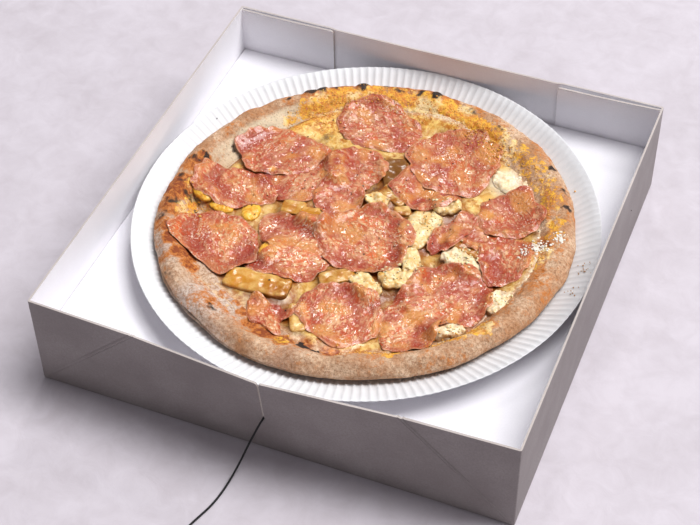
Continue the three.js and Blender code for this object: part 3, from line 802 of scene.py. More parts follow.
def crustMaterial():
    # wheat crust from a stone oven: floury and dull outside, toasted and oily along its inner edge
    material, tree = newMaterial("stoneBakedCrust")
    coords = addNode(tree, "TexCoord").outputs["Object"]
    patch, dust, speck, sieved = (
        addNode(tree, "TexNoise", {
            "Vector": coords, "Scale": 1000 / size, "Detail": detail, "Roughness": rough,
        }).outputs["Fac"]
        for size, detail, rough in ((17, 4, 0.62), (3.2, 5, 0.72), (1.1, 3, 0.7), (1.9, 5, 0.8)))
    toast, char, golden, pale, dusty = (
        addNode(tree, "Attribute", attribute_name=name).outputs["Fac"]
        for name in ("toast", "char", "golden", "pale", "dusty"))
    made = {}
    blotches = paint(tree, made, [("blotches", dust, 0.35, 0.65, -0.35, 0.35)], [])
    browned = addNode(tree, "Math", {0: toast, 1: blotches}, operation="ADD", use_clamp=True).outputs[0]
    density = addNode(tree, "Math", {0: golden, 1: 0.34, 2: dust}, operation="MULTIPLY_ADD").outputs[0]
    gloss = paint(tree, made, [
        ("floured", patch, 0.38, 0.62, 0, 1),
        ("sieved", sieved, 0.33, 0.58, 0, 1),
        ("warm", browned, 0.25, 0.7, 0, 1),
        ("deep", browned, 0.75, 1, 0, 1),
        ("grainy", speck, 0.4, 0.6, 0, 1),
        ("clotted", dust, 0.42, 0.62, 0, 1),
        ("creamy", patch, 0.5, 0.6, 0, 0.75),
        ("dense", density, 0.6, 0.72, 0, 1),
        ("present", golden, 0, 0.3, 0, 1),
        ("freckle", speck, 0.57, 0.67, 0, 0.6),
        ("gloss", golden, 0, 1, 0.82, 0.42),
    ], [])
    made["grains"] = addNode(tree, "Mix", {0: 0.6, 2: made["grainy"], 3: made["clotted"]}).outputs[0]
    gilt = addNode(tree, "Math", {0: made["present"], 1: made["dense"]}, operation="MULTIPLY")
    made["gilt"] = gilt.outputs[0]
    colour = paint(tree, made, [], [
        ("flour", "floured", "#BE8C64", "#E2C3A4"),
        ("dusted", dusty, "flour", "#DCCDC2"),
        ("powdered", "sieved", "#9C6840", "dusted"),
        ("bare", pale, "powdered", "#E6D3B4"),
        ("toasted", "warm", "bare", "#C6762F"),
        ("deepened", "deep", "toasted", "#8E4217"),
        ("crumb", "grains", "#CC640A", "#FFCC44"),
        ("gold", "creamy", "crumb", "#FAE3AC"),
        ("gilded", "gilt", "deepened", "gold"),
        ("black", speck, "#15100F", "#3B2519"),
        # char, with painted shade in the crease above the foot and under the side's bulge
        ("burntAndShaded", char, "gilded", "black"),
        ("freckled", "freckle", "burntAndShaded", "#7A4E31"),
    ])
    height = addNode(tree, "Math", {0: dust, 1: speck}, operation="ADD").outputs[0]
    finishMaterial(tree, height, 0.9, 0.7, {
        "Base Color": colour, "Roughness": gloss,
        "Subsurface Weight": 0.06, "Subsurface Radius": (1.0, 0.5, 0.25), "Subsurface Scale": 0.001,
    })
    return material


def ring(radius, middle, width):
    # 1 at the middle radius or height, and fading on both sides of it
    return np.exp(-((radius - middle) / width) ** 2)


def makeDough():
    profile = between(dough["edge"], dough["steps"])
    piece = turnRound("pizzaCrust", profile, dough["segments"], dough["middle"])
    points = readPoints(piece) / mm
    points[:, :2] -= dough["middle"]
    angle = np.arctan2(points[:, 1], points[:, 0])
    turn = np.degrees(angle)
    radius, height = np.hypot(points[:, 0], points[:, 1]), points[:, 2].copy()
    wander = noiseAt(plan(120 * np.cos(angle), 120 * np.sin(angle)), dough["strayLength"], 31)
    grown = outlineScale(angle, radius)
    grown += dough["stray"] * wander * ramp(94, 102, radius) * ramp(115, 109, radius)
    x, y = points[:, 0] * grown, points[:, 1] * grown

    # masks: the rim's top, its outer side, and all that shows
    rim = ramp(103, 112, radius) * ramp(41, 46, height)
    side = ramp(119, 123, radius)
    upper = ramp(36, 42, height)
    facing = np.where(radius < 106, ramp(36, 38, height), upper)
    flat = plan(x, y, height)
    big, bubble, grit = (noiseAt(flat, *grain) for grain in dough["grains"].values())
    wrinkle = noiseAt(flat * (1, 1, 2.2), dough["wrinkleSize"], 3)

    # blisters, popped bubbles, and cracks along the rim's inner edge
    blisters = spotsAt(x, y, charSpots[:4])
    lift = dough["blisterRise"] * blisters + dough["swell"] * (uneven(x, y, 34) + 0.6 * uneven(y, x, 19))
    craters = dough["craterDepth"] * ramp(0.25, 0.6, bubble) * rim
    cracks = np.clip(1 - np.abs(noiseAt(flat, dough["crackSize"], 32)) * 5, 0, 1)
    z = height + rim * (lift + 0.75 * big + 0.35 * bubble - craters)
    z += upper * (0.2 * wrinkle + 0.12 * grit)
    z -= dough["crackDepth"] * ring(radius, dough["crackRadius"], 4) * upper * cracks
    for heading, spread, middle, width, rise in dough["banks"]:
        broad = ramp(spread, 0.55 * spread, np.abs((turn - heading + 180) % 360 - 180)) * facing
        z += rise * (1 + 0.25 * bubble) * broad * ring(radius, middle, width)
        z -= dough["crownDrop"] * broad * ring(radius, 115, 5)

    # the side bulges, and folds in above its foot at the front left
    off = (turn - dough["creaseAngle"] + 180) % 360 - 180
    line = dough["creaseHeight"] + 0.8 * np.sin(5 * angle) + 0.5 * big
    fold = ring(height, line, 0.8) * ramp(118, 121, radius) * ring(off, 0, dough["creaseSpread"])
    out = side * upper * (0.8 * big + 0.35 * bubble + 0.3 * wrinkle + 0.12 * grit)
    out += dough["blisterReach"] * side * blisters * (1 + bubble) - dough["creaseDepth"] * fold
    x += out * np.cos(angle)
    y += out * np.sin(angle)
    foot = (height < 43) & (radius > 100)  # it lies on the plate
    rest = plateHeight(x + dough["middle"][0], y + dough["middle"][1]) + dough["clearance"]
    z = np.where(foot, np.maximum(z, rest), z)
    writePoints(piece, plan(x + dough["middle"][0], y + dough["middle"][1], z))

    patch, arc, band, tear = (noiseAt(flat, *grain) for grain in ((24, 11), (30, 14), (11, 12), (4.2, 16)))
    pale = ring(turn, dough["paleAngle"], dough["paleSpread"]) * ramp(112.5, 109, radius)
    toast = 0.4 * ring(radius, 107.5, 4.2) + rim * (0.15 * (0.5 + big) + 0.35 * ramp(0, 0.6, patch))
    toast += 0.4 * ring(radius, 115, 2.2) * ramp(-0.1, 0.5, arc)
    toast += 0.15 * ring(radius, 121, 3.5) * ramp(0, 0.5, band) * upper
    browned = spotsAt(x + 2.5 * bubble, y - 2.5 * big, toastSpots) * facing
    toast = np.maximum(toast * (1 - 0.9 * pale), browned)
    char = spotsAt(x + 3.2 * tear + 1.2 * wrinkle, y - 3.2 * bubble - 1.2 * grit, charSpots)
    char = ramp(0.3, 0.75, char + 0.35 * wrinkle + 0.2 * grit) * ramp(0, 0.9, char + 0.45)
    # painted shade: the crease above the foot is darkened like char, and so is a line round the side under
    # its bulge, which is partly real scorch
    scorchAndShade = 0.45 * ring(height, 41, 1.1) * ramp(117, 121, radius) * ramp(-0.3, 0.4, big)
    char = np.clip(np.maximum(char, np.maximum(0.9 * fold, scorchAndShade)), 0, 1) * ramp(37, 40, height)
    golden = spotsAt(x + 1.5 * wrinkle, y + 1.5 * bubble, goldenSpots) * upper
    dusty = 0.9 * ring(turn, dough["dustyAngle"], dough["dustySpread"]) * ramp(-0.5, 0.3, patch)
    addValues(piece, toast=np.clip(toast, 0, 1), char=char, golden=golden, pale=pale, dusty=dusty)
    return dress(piece, crustMaterial(), "crust", "pizza_base")


crust = makeDough()
print("dough baked", len(crust.data.vertices))


# ---- what the layers lie on: heights in millimetres over the pizza, on a fine square grid

bed = {"cell": 0.6, "reach": 127}
axis = np.arange(-bed["reach"], bed["reach"] + bed["cell"] / 2, bed["cell"])
bedX, bedY = np.meshgrid(axis, axis)
bedHeights = np.full(bedX.shape, 30.0)
everywhere = np.ones(bedX.shape, bool)
neighbours = ((0, 1), (0, -1), (1, 0), (-1, 0))


def landOn(piece):
    # a finished piece raises the bed to its top
    points = readPoints(piece)
    faces = [tuple(f.vertices) for f in piece.data.polygons]
    tree = BVHTree.FromPolygons([Vector(p) for p in points], faces)
    low, high = points.min(0) / mm - 1, points.max(0) / mm + 1
    middleX, middleY = dough["middle"]
    rows = np.where((axis + middleY > low[1]) & (axis + middleY < high[1]))[0]
    columns = np.where((axis + middleX > low[0]) & (axis + middleX < high[0]))[0]
    down = Vector((0, 0, -1))
    for row in rows:
        y = (axis[row] + middleY) * mm
        for column in columns:
            place, _, _, _ = tree.ray_cast(Vector(((axis[column] + middleX) * mm, y, 0.2)), down)
            if place is not None:
                bedHeights[row, column] = max(bedHeights[row, column], place.z / mm)


def sample(grid, x, y):
    # the grid's value at places in between its points
    column = np.clip((x + bed["reach"]) / bed["cell"], 0, len(axis) - 1.001)
    row = np.clip((y + bed["reach"]) / bed["cell"], 0, len(axis) - 1.001)
    i, j = column.astype(int), row.astype(int)
    u, v = column - i, row - j
    near = grid[j, i] * (1 - u) + grid[j, i + 1] * u
    far = grid[j + 1, i] * (1 - u) + grid[j + 1, i + 1] * u
    return near * (1 - v) + far * v


def widened(grid):
    # each point takes the highest of itself and its neighbours, which keeps a layer clear of corners
    best = grid.copy()
    for step in neighbours:
        best = np.maximum(best, np.roll(grid, step, (0, 1)))
    return best


def drape(height, floor, inside, rounds, stiffness):
    # a soft sheet over the floor: it sinks as far as the floor lets it, and spans what is narrow
    weight = inside.astype(float)
    count = np.maximum(sum(np.roll(weight, step, (0, 1)) for step in neighbours), 1)
    for _ in range(rounds):
        mean = sum(np.roll(height * weight, step, (0, 1)) for step in neighbours) / count
        height = np.where(inside, np.maximum(floor, height + stiffness * (mean - height)), height)
    return height


landOn(crust)
print("bed measured")


# ---- one disc for everything flat and round: the cheese and the slices are copies of it

discRings = {"top": 40, "bottom": 8, "segments": 160}


def makeDisc():
    over = [(r, 1) for r in np.linspace(1, discRings["top"], discRings["top"]) / discRings["top"] * 0.972]
    edge = [(0.99, 0.93), (1.0, 0.62), (0.998, 0.3), (0.985, 0.02)]
    under = [(r, 0) for r in np.linspace(0.95, 0.05, discRings["bottom"])]
    profile = [(r * 1000, h * 1000) for r, h in over + edge + under]
    return turnRound("disc", profile, discRings["segments"])


disc = makeDisc()
discPoints = readPoints(disc)
discRadius = np.hypot(discPoints[:, 0], discPoints[:, 1])
discAngle = np.arctan2(discPoints[:, 1], discPoints[:, 0])
discLevel = discPoints[:, 2]


# ---- melted cheese

cheese = {
    "radius": 104.5,
    "thickness": 2.3,
    "uneven": 0.9,
    "unevenLength": 46,
    "bareReach": 7,  # how much further in it ends at the left
    "bareAngle": 2.75,  # this and the next are in radians
    "bareSpread": 0.32,
    "creep": 0.75,  # how far it climbs what stands in it
    "sink": 3.2,
    "edgeSink": 0.55,
    "doughAngle": -118,  # where the bare dough reaches furthest in
    "doughSpread": 50,
    "doughReach": 10,
    "creepRounds": 22,  # how far from a topping it climbs, in rounds of smoothing
    "gapRounds": 60,
    "gapDepths": (0.2, 2),  # how far below the toppings the painted shade begins, and is at full strength
    "gapShade": 0.95,
}


def cheeseMaterial():
    # low-moisture mozzarella, melted and oily: cream where thick, amber where thin, browned in places
    material, tree = newMaterial("meltedMozzarella")
    coords = addNode(tree, "TexCoord").outputs["Object"]
    pool, curd = (
        addNode(tree, "TexNoise", {
            "Vector": coords, "Scale": 1000 / size, "Detail": 4, "Roughness": rough,
        }).outputs["Fac"]
        for size, rough in ((14, 0.6), (3, 0.65)))
    golden, holeShade, white, gap, bare, toast = (
        addNode(tree, "Attribute", attribute_name=name).outputs["Fac"]
        for name in ("golden", "holeShade", "white", "gap", "bare", "toast"))
    made = {}
    gloss = paint(tree, made, [("gloss", pool, 0, 1, 0.4, 0.12)], [])
    colour = paint(tree, made, [("oily", pool, 0.38, 0.64, 0, 1), ("mottle", curd, 0.42, 0.62, 0, 1)], [
        ("base", "oily", "#E8B655", "#AD6412"),
        ("mottled", "mottle", "base", "#F3D286"),
        ("gold", "mottle", "#C9700F", "#FFD05A"),
        ("gilded", golden, "mottled", "gold"),
        # painted shade: the hollows between the toppings darken to olive brown
        ("oliveTone", "mottle", "#53340A", "#A27A2A"),
        ("darkened", holeShade, "gilded", "oliveTone"),
        ("whitened", white, "darkened", "#F1E3C6"),
        # painted shade: cheese sunk between high toppings turns dark brown, partly dark oil
        ("shaded", gap, "whitened", "#8A440F"),
        ("pale", "mottle", "#C79468", "#E9D2B0"),
        ("brown", "mottle", "#94430F", "#D98A3C"),
        ("dough", toast, "pale", "brown"),
        ("uncovered", bare, "shaded", "dough"),
    ])
    finishMaterial(tree, curd, 0.8, 0.9, {
        "Base Color": colour, "Roughness": gloss,
        "Subsurface Weight": 0.2, "Subsurface Radius": (1.0, 0.65, 0.3), "Subsurface Scale": 0.0015,
        "Coat Weight": 0.25, "Coat Roughness": 0.12,
    })
    return material


# dark olive-brown painted shade in the deep hollows between the toppings, partly brown oil
holeShadeSpots = [
    (98, 44, 9, 0.8), (101, 30, 7, 0.9), (97, 58, 7, 0.6), (-96, 33, 5, 0.9), (-51, 65, 4, 1),
    (-8, 38, 12, 1), (0, 50, 12, 1), (2, 32, 9, 0.9), (48, -36, 6, 0.9), (34, -14, 5, 0.9),
    (-10, -94, 9, 0.9), (-3, -98, 7, 1), (-48, -30, 7, 0.8), (-2, -47, 9, 0.7), (-78, 64, 6, 0.4),
    (58, -10, 9, 0.6), (72, -24, 5, 0.7), (102, -40, 6, 0.5), (-36, -12, 9, 0.7),
]
whiteSpots = [
    (73, 64.5, 14, 0.95), (90, 58, 10, 0.8), (97, -31, 9, 0.7), (78, -70, 12, 0.9), (88, -48, 7, 0.7),
    (-26, -75, 7, 0.8), (-38, -80, 6, 0.5), (62, 66, 8, 0.9), (90, -40, 7, 0.8),
]


def makeCheese():
    piece = copyOf(disc, "meltedCheese")
    off = discAngle % math.tau - cheese["bareAngle"]
    reach = cheese["radius"] - cheese["bareReach"] * ring(off, 0, cheese["bareSpread"])
    reach += 1.6 * np.sin(5 * discAngle + 0.7) + 1.1 * np.sin(9 * discAngle + 2)
    x, y = discRadius * reach * np.cos(discAngle), discRadius * reach * np.sin(discAngle)
    flat = plan(x, y)
    thick = cheese["thickness"] + cheese["uneven"] * uneven(x, y, cheese["unevenLength"])
    thick += 0.45 * noiseAt(flat, 9, 21) + 0.2 * noiseAt(flat, 3.5, 22)
    thick *= 1 - 0.8 * ramp(0.94, 1, discRadius)
    wobble = 2.2 * noiseAt(flat, 7, 23)
    # along the front the cheese ends further in, and sinks below the bare dough
    window = ring(np.degrees(discAngle), cheese["doughAngle"], cheese["doughSpread"])
    edge = cheese["radius"] - 2 - cheese["doughReach"] * window + 1.6 * wobble
    bare = ramp(-1.5, 1.5, np.hypot(x, y) - edge)
    z = sample(bedHeights, x, y) + 0.1 + np.maximum(thick, 0.3) * discLevel - cheese["sink"] * bare * window
    z -= cheese["edgeSink"] * ramp(0.965, 1, discRadius)
    writePoints(piece, plan(x + dough["middle"][0], y + dough["middle"][1], z))
    spots = {"toast": toastSpots, "golden": goldenSpots, "holeShade": holeShadeSpots, "white": whiteSpots}
    addValues(piece, bare=bare, **{name: spotsAt(x + wobble, y - wobble, at) for name, at in spots.items()})
    return dress(piece, cheeseMaterial(), "melted_cheese", "melted_cheese")


meltedCheese = makeCheese()
landOn(meltedCheese)
print("cheese melted")


# ---- potato, mash, cheese lumps and cream

def lumpMaterial(name, colours, grain, gloss, depth):
    # colours run from the low places of the lump, darkened with oil and painted shade, to its high, dry
    # places
    material, tree = newMaterial(name)
    coords = addNode(tree, "TexCoord").outputs["Object"]
    broad, fine = (
        addNode(tree, "TexNoise", {
            "Vector": coords, "Scale": 1000 / size, "Detail": detail, "Roughness": rough,
        }).outputs["Fac"]
        for size, detail, rough in ((4 * grain, 3, 0.5), (grain, 5, 0.65)))
    soak = addNode(tree, "Attribute", attribute_name="soak").outputs["Fac"]
    colour = paint(tree, {}, [("patch", broad, 0.35, 0.65, 0, 1), ("dry", fine, 0.42, 0.72, 0, 1)], [
        ("base", "patch", colours[0], colours[1]),
        ("dried", "dry", "base", colours[2]),
        # painted shade with oil: a lump turns dark brown toward its foot
        ("soaked", soak, "dried", "#744208"),
    ])
    finishMaterial(tree, fine, 0.6, 0.4, {
        "Base Color": colour, "Roughness": gloss,
        "Subsurface Weight": depth, "Subsurface Radius": (1.0, 0.7, 0.35), "Subsurface Scale": 0.002,
        "Coat Weight": 0.2, "Coat Roughness": 0.15,
    })
    return material


lumpShape = {
    "margin": 1.2,  # how much further than its solid a lump reaches on each side
    "rise": 0.8,
    "cap": 0.6,  # how far its roughness may stand over its top
    "coarseSize": 5.5,
    "fineSize": 2.1,
    "soaked": (0.7, 2.8),  # oil and painted shade creep up from a lump's foot, from this depth to that
    "shadeDarkening": 0.9,
}

lumps = {  # pieces are (x, y, length, width, turn)
    # waxy potato, roasted in oil until it is glassy and amber
    "potato": {
        "slot": "potato", "power": 5.5, "coarse": 0.9, "fine": 0.12, "soak": 0.75,
        "material": ("oilyPotato", ("#9A5408", "#CC8A28", "#F0CF86"), 9.0, 0.22, 0.5),
        "inShade": (6, 5),  # painted shade: these lie deep in the hollows between the slices
        "pieces": [
            (-39, -67.5, 37, 14, 4), (-44, -3, 12, 9, 6), (-32.5, -6, 9, 9.5, 5), (-25.5, -8.5, 6, 8, -8),
            (-34, 39, 23, 4.4, 102), (3, 47, 27, 15, 121), (8.5, 28.5, 17, 8, -22), (18, 18, 8, 6, 20),
            (63, 3, 19, 7, -16), (-7, -84, 19, 7, 116), (2, -46.5, 19, 8, 36),
        ],
    },
    # floury potato, broken by the fork: pale, crumbly and dull
    "mash": {
        "slot": "mash", "power": 3.2, "coarse": 2.2, "fine": 0.8, "soak": 0.95,
        "material": ("flouryPotato", ("#DBA650", "#F0D08E", "#FBE9C0"), 2.2, 0.35, 0.25),
        "pieces": [
            (32.5, 9, 35, 18, 84), (42, 29.5, 14, 12, 20), (39.5, -24.5, 29, 9, 113), (33, -38, 14, 13, 30),
            (20, -47.5, 20, 12, -36), (1, 20.5, 12, 9, -10),
        ],
    },
    # thick drops of melted cheese with a yellow, oily skin
    "cheese_lump": {
        "slot": "melted_cheese", "power": 2.3, "coarse": 0.8, "fine": 0.5, "soak": 0.6,
        "material": ("yellowCheeseDrop", ("#E08E14", "#F5B930", "#FFD668"), 1.6, 0.35, 0.2),
        "pieces": [
            (-43, -40, 14, 9, 76), (-67, -14, 13, 9, 100), (-86, -15.5, 14, 8, -12),
            (-99, -10.5, 14, 10, -30),
        ],
    },
    # fresh white cheese, soft and slightly grainy
    "cream": {
        "slot": "cream", "power": 2.4, "coarse": 2.4, "fine": 1.0, "soak": 0.75,
        "melted": {1: 2.8, 2: 0.4, 3: 1.4, 4: 1.4},  # how far these have sunk
        "material": ("freshWhiteCheese", ("#E6BE86", "#F2DCB4", "#FBEDD2"), 1.7, 0.45, 0.2),
        "pieces": [
            (73, 64.5, 27, 15, -14), (65.5, -9, 27, 13, -16), (95, -32, 18, 11, 80), (77, -65, 16, 9, 30),
        ],
    },
}


def makeBlock():
    # one finely divided block, which every lump is a copy of
    bpy.ops.object.select_all(action="DESELECT")
    bpy.ops.mesh.primitive_cube_add(size=2)
    piece = started("block")
    bpy.ops.object.mode_set(mode="EDIT")
    bpy.ops.mesh.select_all(action="SELECT")
    bpy.ops.mesh.subdivide(number_cuts=27)
    bpy.ops.object.mode_set(mode="OBJECT")
    bpy.ops.object.shade_smooth()
    return piece


block = makeBlock()
blockPoints = readPoints(block)


def makeLump(kind, number, facts, place, material):
    x, y, long, wide, turn = place
    node = f"{kind}_{number:02d}"
    low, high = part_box(node)
    piece = copyOf(block, f"{kind}Piece{number:02d}".replace("_", ""))
    top = high.z / mm - facts.get("melted", {}).get(number, 0)
    tall = top - low.z / mm + lumpShape["rise"]
    # the block's corners are drawn in, the less the higher the power
    shape = blockPoints / (np.abs(blockPoints) ** facts["power"]).sum(1)[:, None] ** (1 / facts["power"])
    margin = lumpShape["margin"]
    size = np.array((long / 2 + margin, wide / 2 + margin, tall / 2))
    shape = shape * size
    across, along = turned(shape[:, 0], shape[:, 1], math.radians(turn))
    middleX, middleY = dough["middle"]
    points = np.column_stack((across + x + middleX, along + y + middleY, shape[:, 2] + top - tall / 2))
    normal = shape / size ** 2
    normal /= np.linalg.norm(normal, axis=1)[:, None] + 1e-9
    rough = facts["coarse"] * noiseAt(points * mm, lumpShape["coarseSize"], number)
    rough += facts["fine"] * noiseAt(points * mm, lumpShape["fineSize"], number + 9)
    points += normal * rough[:, None]
    points[:, 2] = np.minimum(points[:, 2], top + lumpShape["cap"])
    writePoints(piece, points * mm)
    depth = top - points[:, 2] + 1.1 * noiseAt(points * mm, 4, number + 3)
    # pieces deep between the slices get painted shade
    inShade = lumpShape["shadeDarkening"] if number in facts.get("inShade", ()) else 0
    soak = facts["soak"] * ramp(*lumpShape["soaked"], depth) + inShade
    addValues(piece, soak=np.clip(soak, 0, 0.95))
    return dress(piece, material, facts["slot"], node)


for kind, facts in lumps.items():
    finish = lumpMaterial(*facts["material"])
    for number, place in enumerate(facts["pieces"], 1):
        landOn(makeLump(kind, number, facts, place, finish))
bpy.data.objects.remove(block)


def creepUp(piece):
    # melted cheese climbs the feet of what stands in it
    around = drape(bedHeights, 0 * bedHeights, everywhere, cheese["creepRounds"], 1)
    points = readPoints(piece)
    x, y = points[:, 0] / mm - dough["middle"][0], points[:, 1] / mm - dough["middle"][1]
    risen = cheese["creep"] * np.clip(sample(around, x, y) - points[:, 2] / mm, 0, None)
    points[:, 2] += np.where(discLevel > 0.5, risen * ramp(1, 0.97, discRadius), 0) * mm
    writePoints(piece, points)
    landOn(piece)


creepUp(meltedCheese)
print("lumps placed")


# ---- salami

salami = {
    "thickness": 0.9,
    "rimThinning": 0.55,
    "pressed": 0.5,  # how much lower a slice's edge lies
    "margin": 2.4,
    "drapeRounds": 40,
    "stiffness": 0.9,
    "wave": 0.7,
    "relief": 0.42,
    "ruffle": 0.7,
    "tongueWidth": 0.35,  # in radians
    "clearance": 0.08,  # between a slice and what it lies on
    "thinnest": 0.25,
    "levelRounds": 120,  # rounds of smoothing that show where a slice bulges
    "spin": 2.4,  # how much further each slice's marbling is turned, in radians
    # from the lowest to the uppermost: middle, half sizes and turn; where the outline juts out or in,
    # by heading in radians and share; which way and how far an edge curls up; and how dark the lean is
    "slices": [
        {"at": (-53, 31), "size": (26, 29), "deep": 0.24},
        {"at": (-86, 2), "size": (27, 18), "turn": 4},
        {"at": (-23, 85), "size": (28, 21), "turn": -8, "deep": 0.28},
        {"at": (-31, -35), "size": (25, 26), "tongues": ((-2.3, 0.3), (2.4, 0.42), (-2.75, -0.62))},
        {"at": (25, 43), "size": (22, 22.5), "deep": 0.24},
        {"at": (32, 71), "size": (29, 29), "deep": 0.26},
        {"at": (-23, 45), "size": (20, 19), "deep": 0.24},
        {"at": (-23, 17), "size": (16, 17)},
        {"at": (-71, 41), "size": (27, 21.5), "turn": 12, "tongues": ((3.1, 0.1),), "curl": (185, 2.5),
         "deep": 0.28},
        {"at": (-77, -42), "size": (29, 21), "turn": -10, "tongues": ((-0.95, 0.35),), "curl": (-110, 1.5)},
        {"at": (6, -12), "size": (30, 28), "turn": -15},
        {"at": (67, 17), "size": (18, 14), "turn": -35, "deep": 0.18},
        {"at": (67, -37), "size": (25, 26), "deep": 0.2},
        {"at": (87, 3), "size": (16, 22), "turn": 5, "deep": 0.26},
        {"at": (79, 37), "size": (20, 19), "turn": 6, "tongues": ((1.35, 0.32),), "curl": (60, 2),
         "deep": 0.3},
        {"at": (52, 11), "size": (8.5, 20), "turn": -22, "curl": (180, 2), "deep": 0.26},
        {"at": (53, -64), "size": (18, 26), "turn": 10},
        {"at": (14, -72), "size": (26, 23), "turn": -12},
        {"at": (-25, -87), "size": (14, 10.5), "turn": -32,
         "tongues": ((1.0, 0.3), (-0.25, 0.35), (0.4, -0.25), (-1.1, -0.3), (2.1, -0.2), (2.9, 0.15))},
    ],
}

amberSpots = [
    (74, -58, 6, 1), (54, -60, 7, 0.7), (40, -74, 6, 0.7), (-70, 24, 3, 0.9), (66, 34, 5, 0.8),
    (-8, 14, 5, 0.5), (-50, 50, 6, 0.3), (24, -95, 7, 0.6), (10, 70, 8, 0.5), (40, 60, 7, 0.4),
]
# dark patches: painted shade under drooping edges and in folds, and darker lean
darkToneAndShadeSpots = [
    (-71, 17, 9, 0.9), (-45, -56, 8, 0.9), (-58, 42, 10, 0.5), (-80, 50, 10, 0.4), (32, 88, 13, 0.5),
    (-30, 92, 10, 0.4), (15, 50, 10, 0.4), (-20, 55, 9, 0.5), (60, 20, 8, 0.4), (-20, 45, 7, 0.6),
    (88, 20, 8, 0.5), (50, 76, 10, 0.5), (10, 57, 8, 0.6), (50, -35, 6, 0.4), (95, -12, 7, 0.5),
    (-68, -60, 7, 0.5),
]
# wet places: glossier, and with more painted white glints
wetGlintSpots = [
    (-80, 42, 5, 1), (-87, -41, 9, 1), (-28, -20, 6, 1), (-22, -56, 5, 0.9), (-43, 65, 5, 0.9),
    (25, 75, 8, 1), (30, -60, 5, 1), (-5, -78, 6, 0.9), (-58, -25, 5, 0.9), (8, 84, 5, 0.7),
]


def salamiMaterial():
    # air-dried pork salami, baked: lean meat smeared with pale streaks of fat, wet with its own oil
    material, tree = newMaterial("bakedSalami")
    grain = addNode(tree, "Attribute", attribute_name="grain").outputs["Vector"]
    drawn = addNode(tree, "Mapping", {"Vector": grain, "Scale": (1, 0.55, 1)}).outputs[0]
    streak, dots, tone, fine = (
        addNode(tree, "TexNoise", {
            "Vector": vector, "Scale": 1000 / size, "Detail": detail, "Roughness": rough, "Distortion": bent,
        }).outputs["Fac"]
        for vector, size, detail, rough, bent in (
            (drawn, 3.4, 4, 0.68, 0.8),  # smears of fat about 3 mm apart
            (grain, 2.1, 2, 0.6, 0.3),  # and dots of it
            (grain, 15, 3, 0.5, 0),
            (grain, 1.1, 4, 0.7, 0)))
    rim, lip, amber, deep, wet = (
        addNode(tree, "Attribute", attribute_name=name).outputs["Fac"]
        for name in ("rim", "lip", "amber", "deep", "wet"))
    # painted glints: white specks, more of them on the wet spots, partly white fat
    glintChance = addNode(tree, "Math", {0: wet, 1: 0.07, 2: fine}, operation="MULTIPLY_ADD").outputs[0]
    made = {}
    oil = paint(tree, made, [
        ("lean", tone, 0.36, 0.64, 0, 1),
        ("streaks", streak, 0.46, 0.64, 0, 0.75),
        ("dots", dots, 0.53, 0.6, 0, 0.9),
        ("fatty", tone, 0.42, 0.56, 0.4, 1),
        ("glintSpeck", glintChance, 0.61, 0.68, 0, 0.8),
        ("oil", wet, 0, 1, 0.3, 0.1),
    ], [])
    most = addNode(tree, "Math", {0: made["streaks"], 1: made["dots"]}, operation="MAXIMUM").outputs[0]
    fat = addNode(tree, "Math", {0: most, 1: made["fatty"]}, operation="MULTIPLY").outputs[0]
    colour = paint(tree, made, [], [
        ("meat", "lean", "#A93A1C", "#D96A32"),
        ("marbled", fat, "meat", "#F9CC9A"),
        # painted shade in folds and under edges, together with the darker lean
        ("deepened", deep, "marbled", "#9E2C14"),
        ("glowing", amber, "deepened", "#E39A48"),
        ("toasted", rim, "glowing", "#B9552F"),
        # a pale line along the edge: a painted wet highlight, partly a rim of fat
        ("lipped", lip, "toasted", "#EDB48C"),
        ("beaded", "glintSpeck", "lipped", "#FBE3D2"),
    ])
    height = addNode(tree, "Math", {0: fine, 1: fat}, operation="ADD").outputs[0]
    finishMaterial(tree, height, 0.9, 0.6, {
        "Base Color": colour, "Roughness": oil,
        "Subsurface Weight": 0.12, "Subsurface Radius": (1.0, 0.35, 0.2), "Subsurface Scale": 0.0012,
        "Coat Weight": 0.6, "Coat Roughness": 0.1,
    })
    return material


def sliceReach(facts, number, angle):
    # the outline's reach at an angle, as a share of the slice's size: wavy, ragged, with its tongues
    reach = 1 + 0.04 * np.sin(3 * angle + number) + 0.03 * np.sin(5 * angle + 2.3 * number)
    reach += 0.026 * np.sin(8 * angle + 1.7 * number + 1.6 * np.sin(2 * angle + number))
    reach += 0.018 * np.sin(15 * angle + 0.6 * number + 2.4 * np.sin(3 * angle))
    for heading, length in facts.get("tongues", ()):
        off = np.arctan2(np.sin(angle - heading), np.cos(angle - heading))
        reach += length * ring(off, 0, salami["tongueWidth"])
    return reach


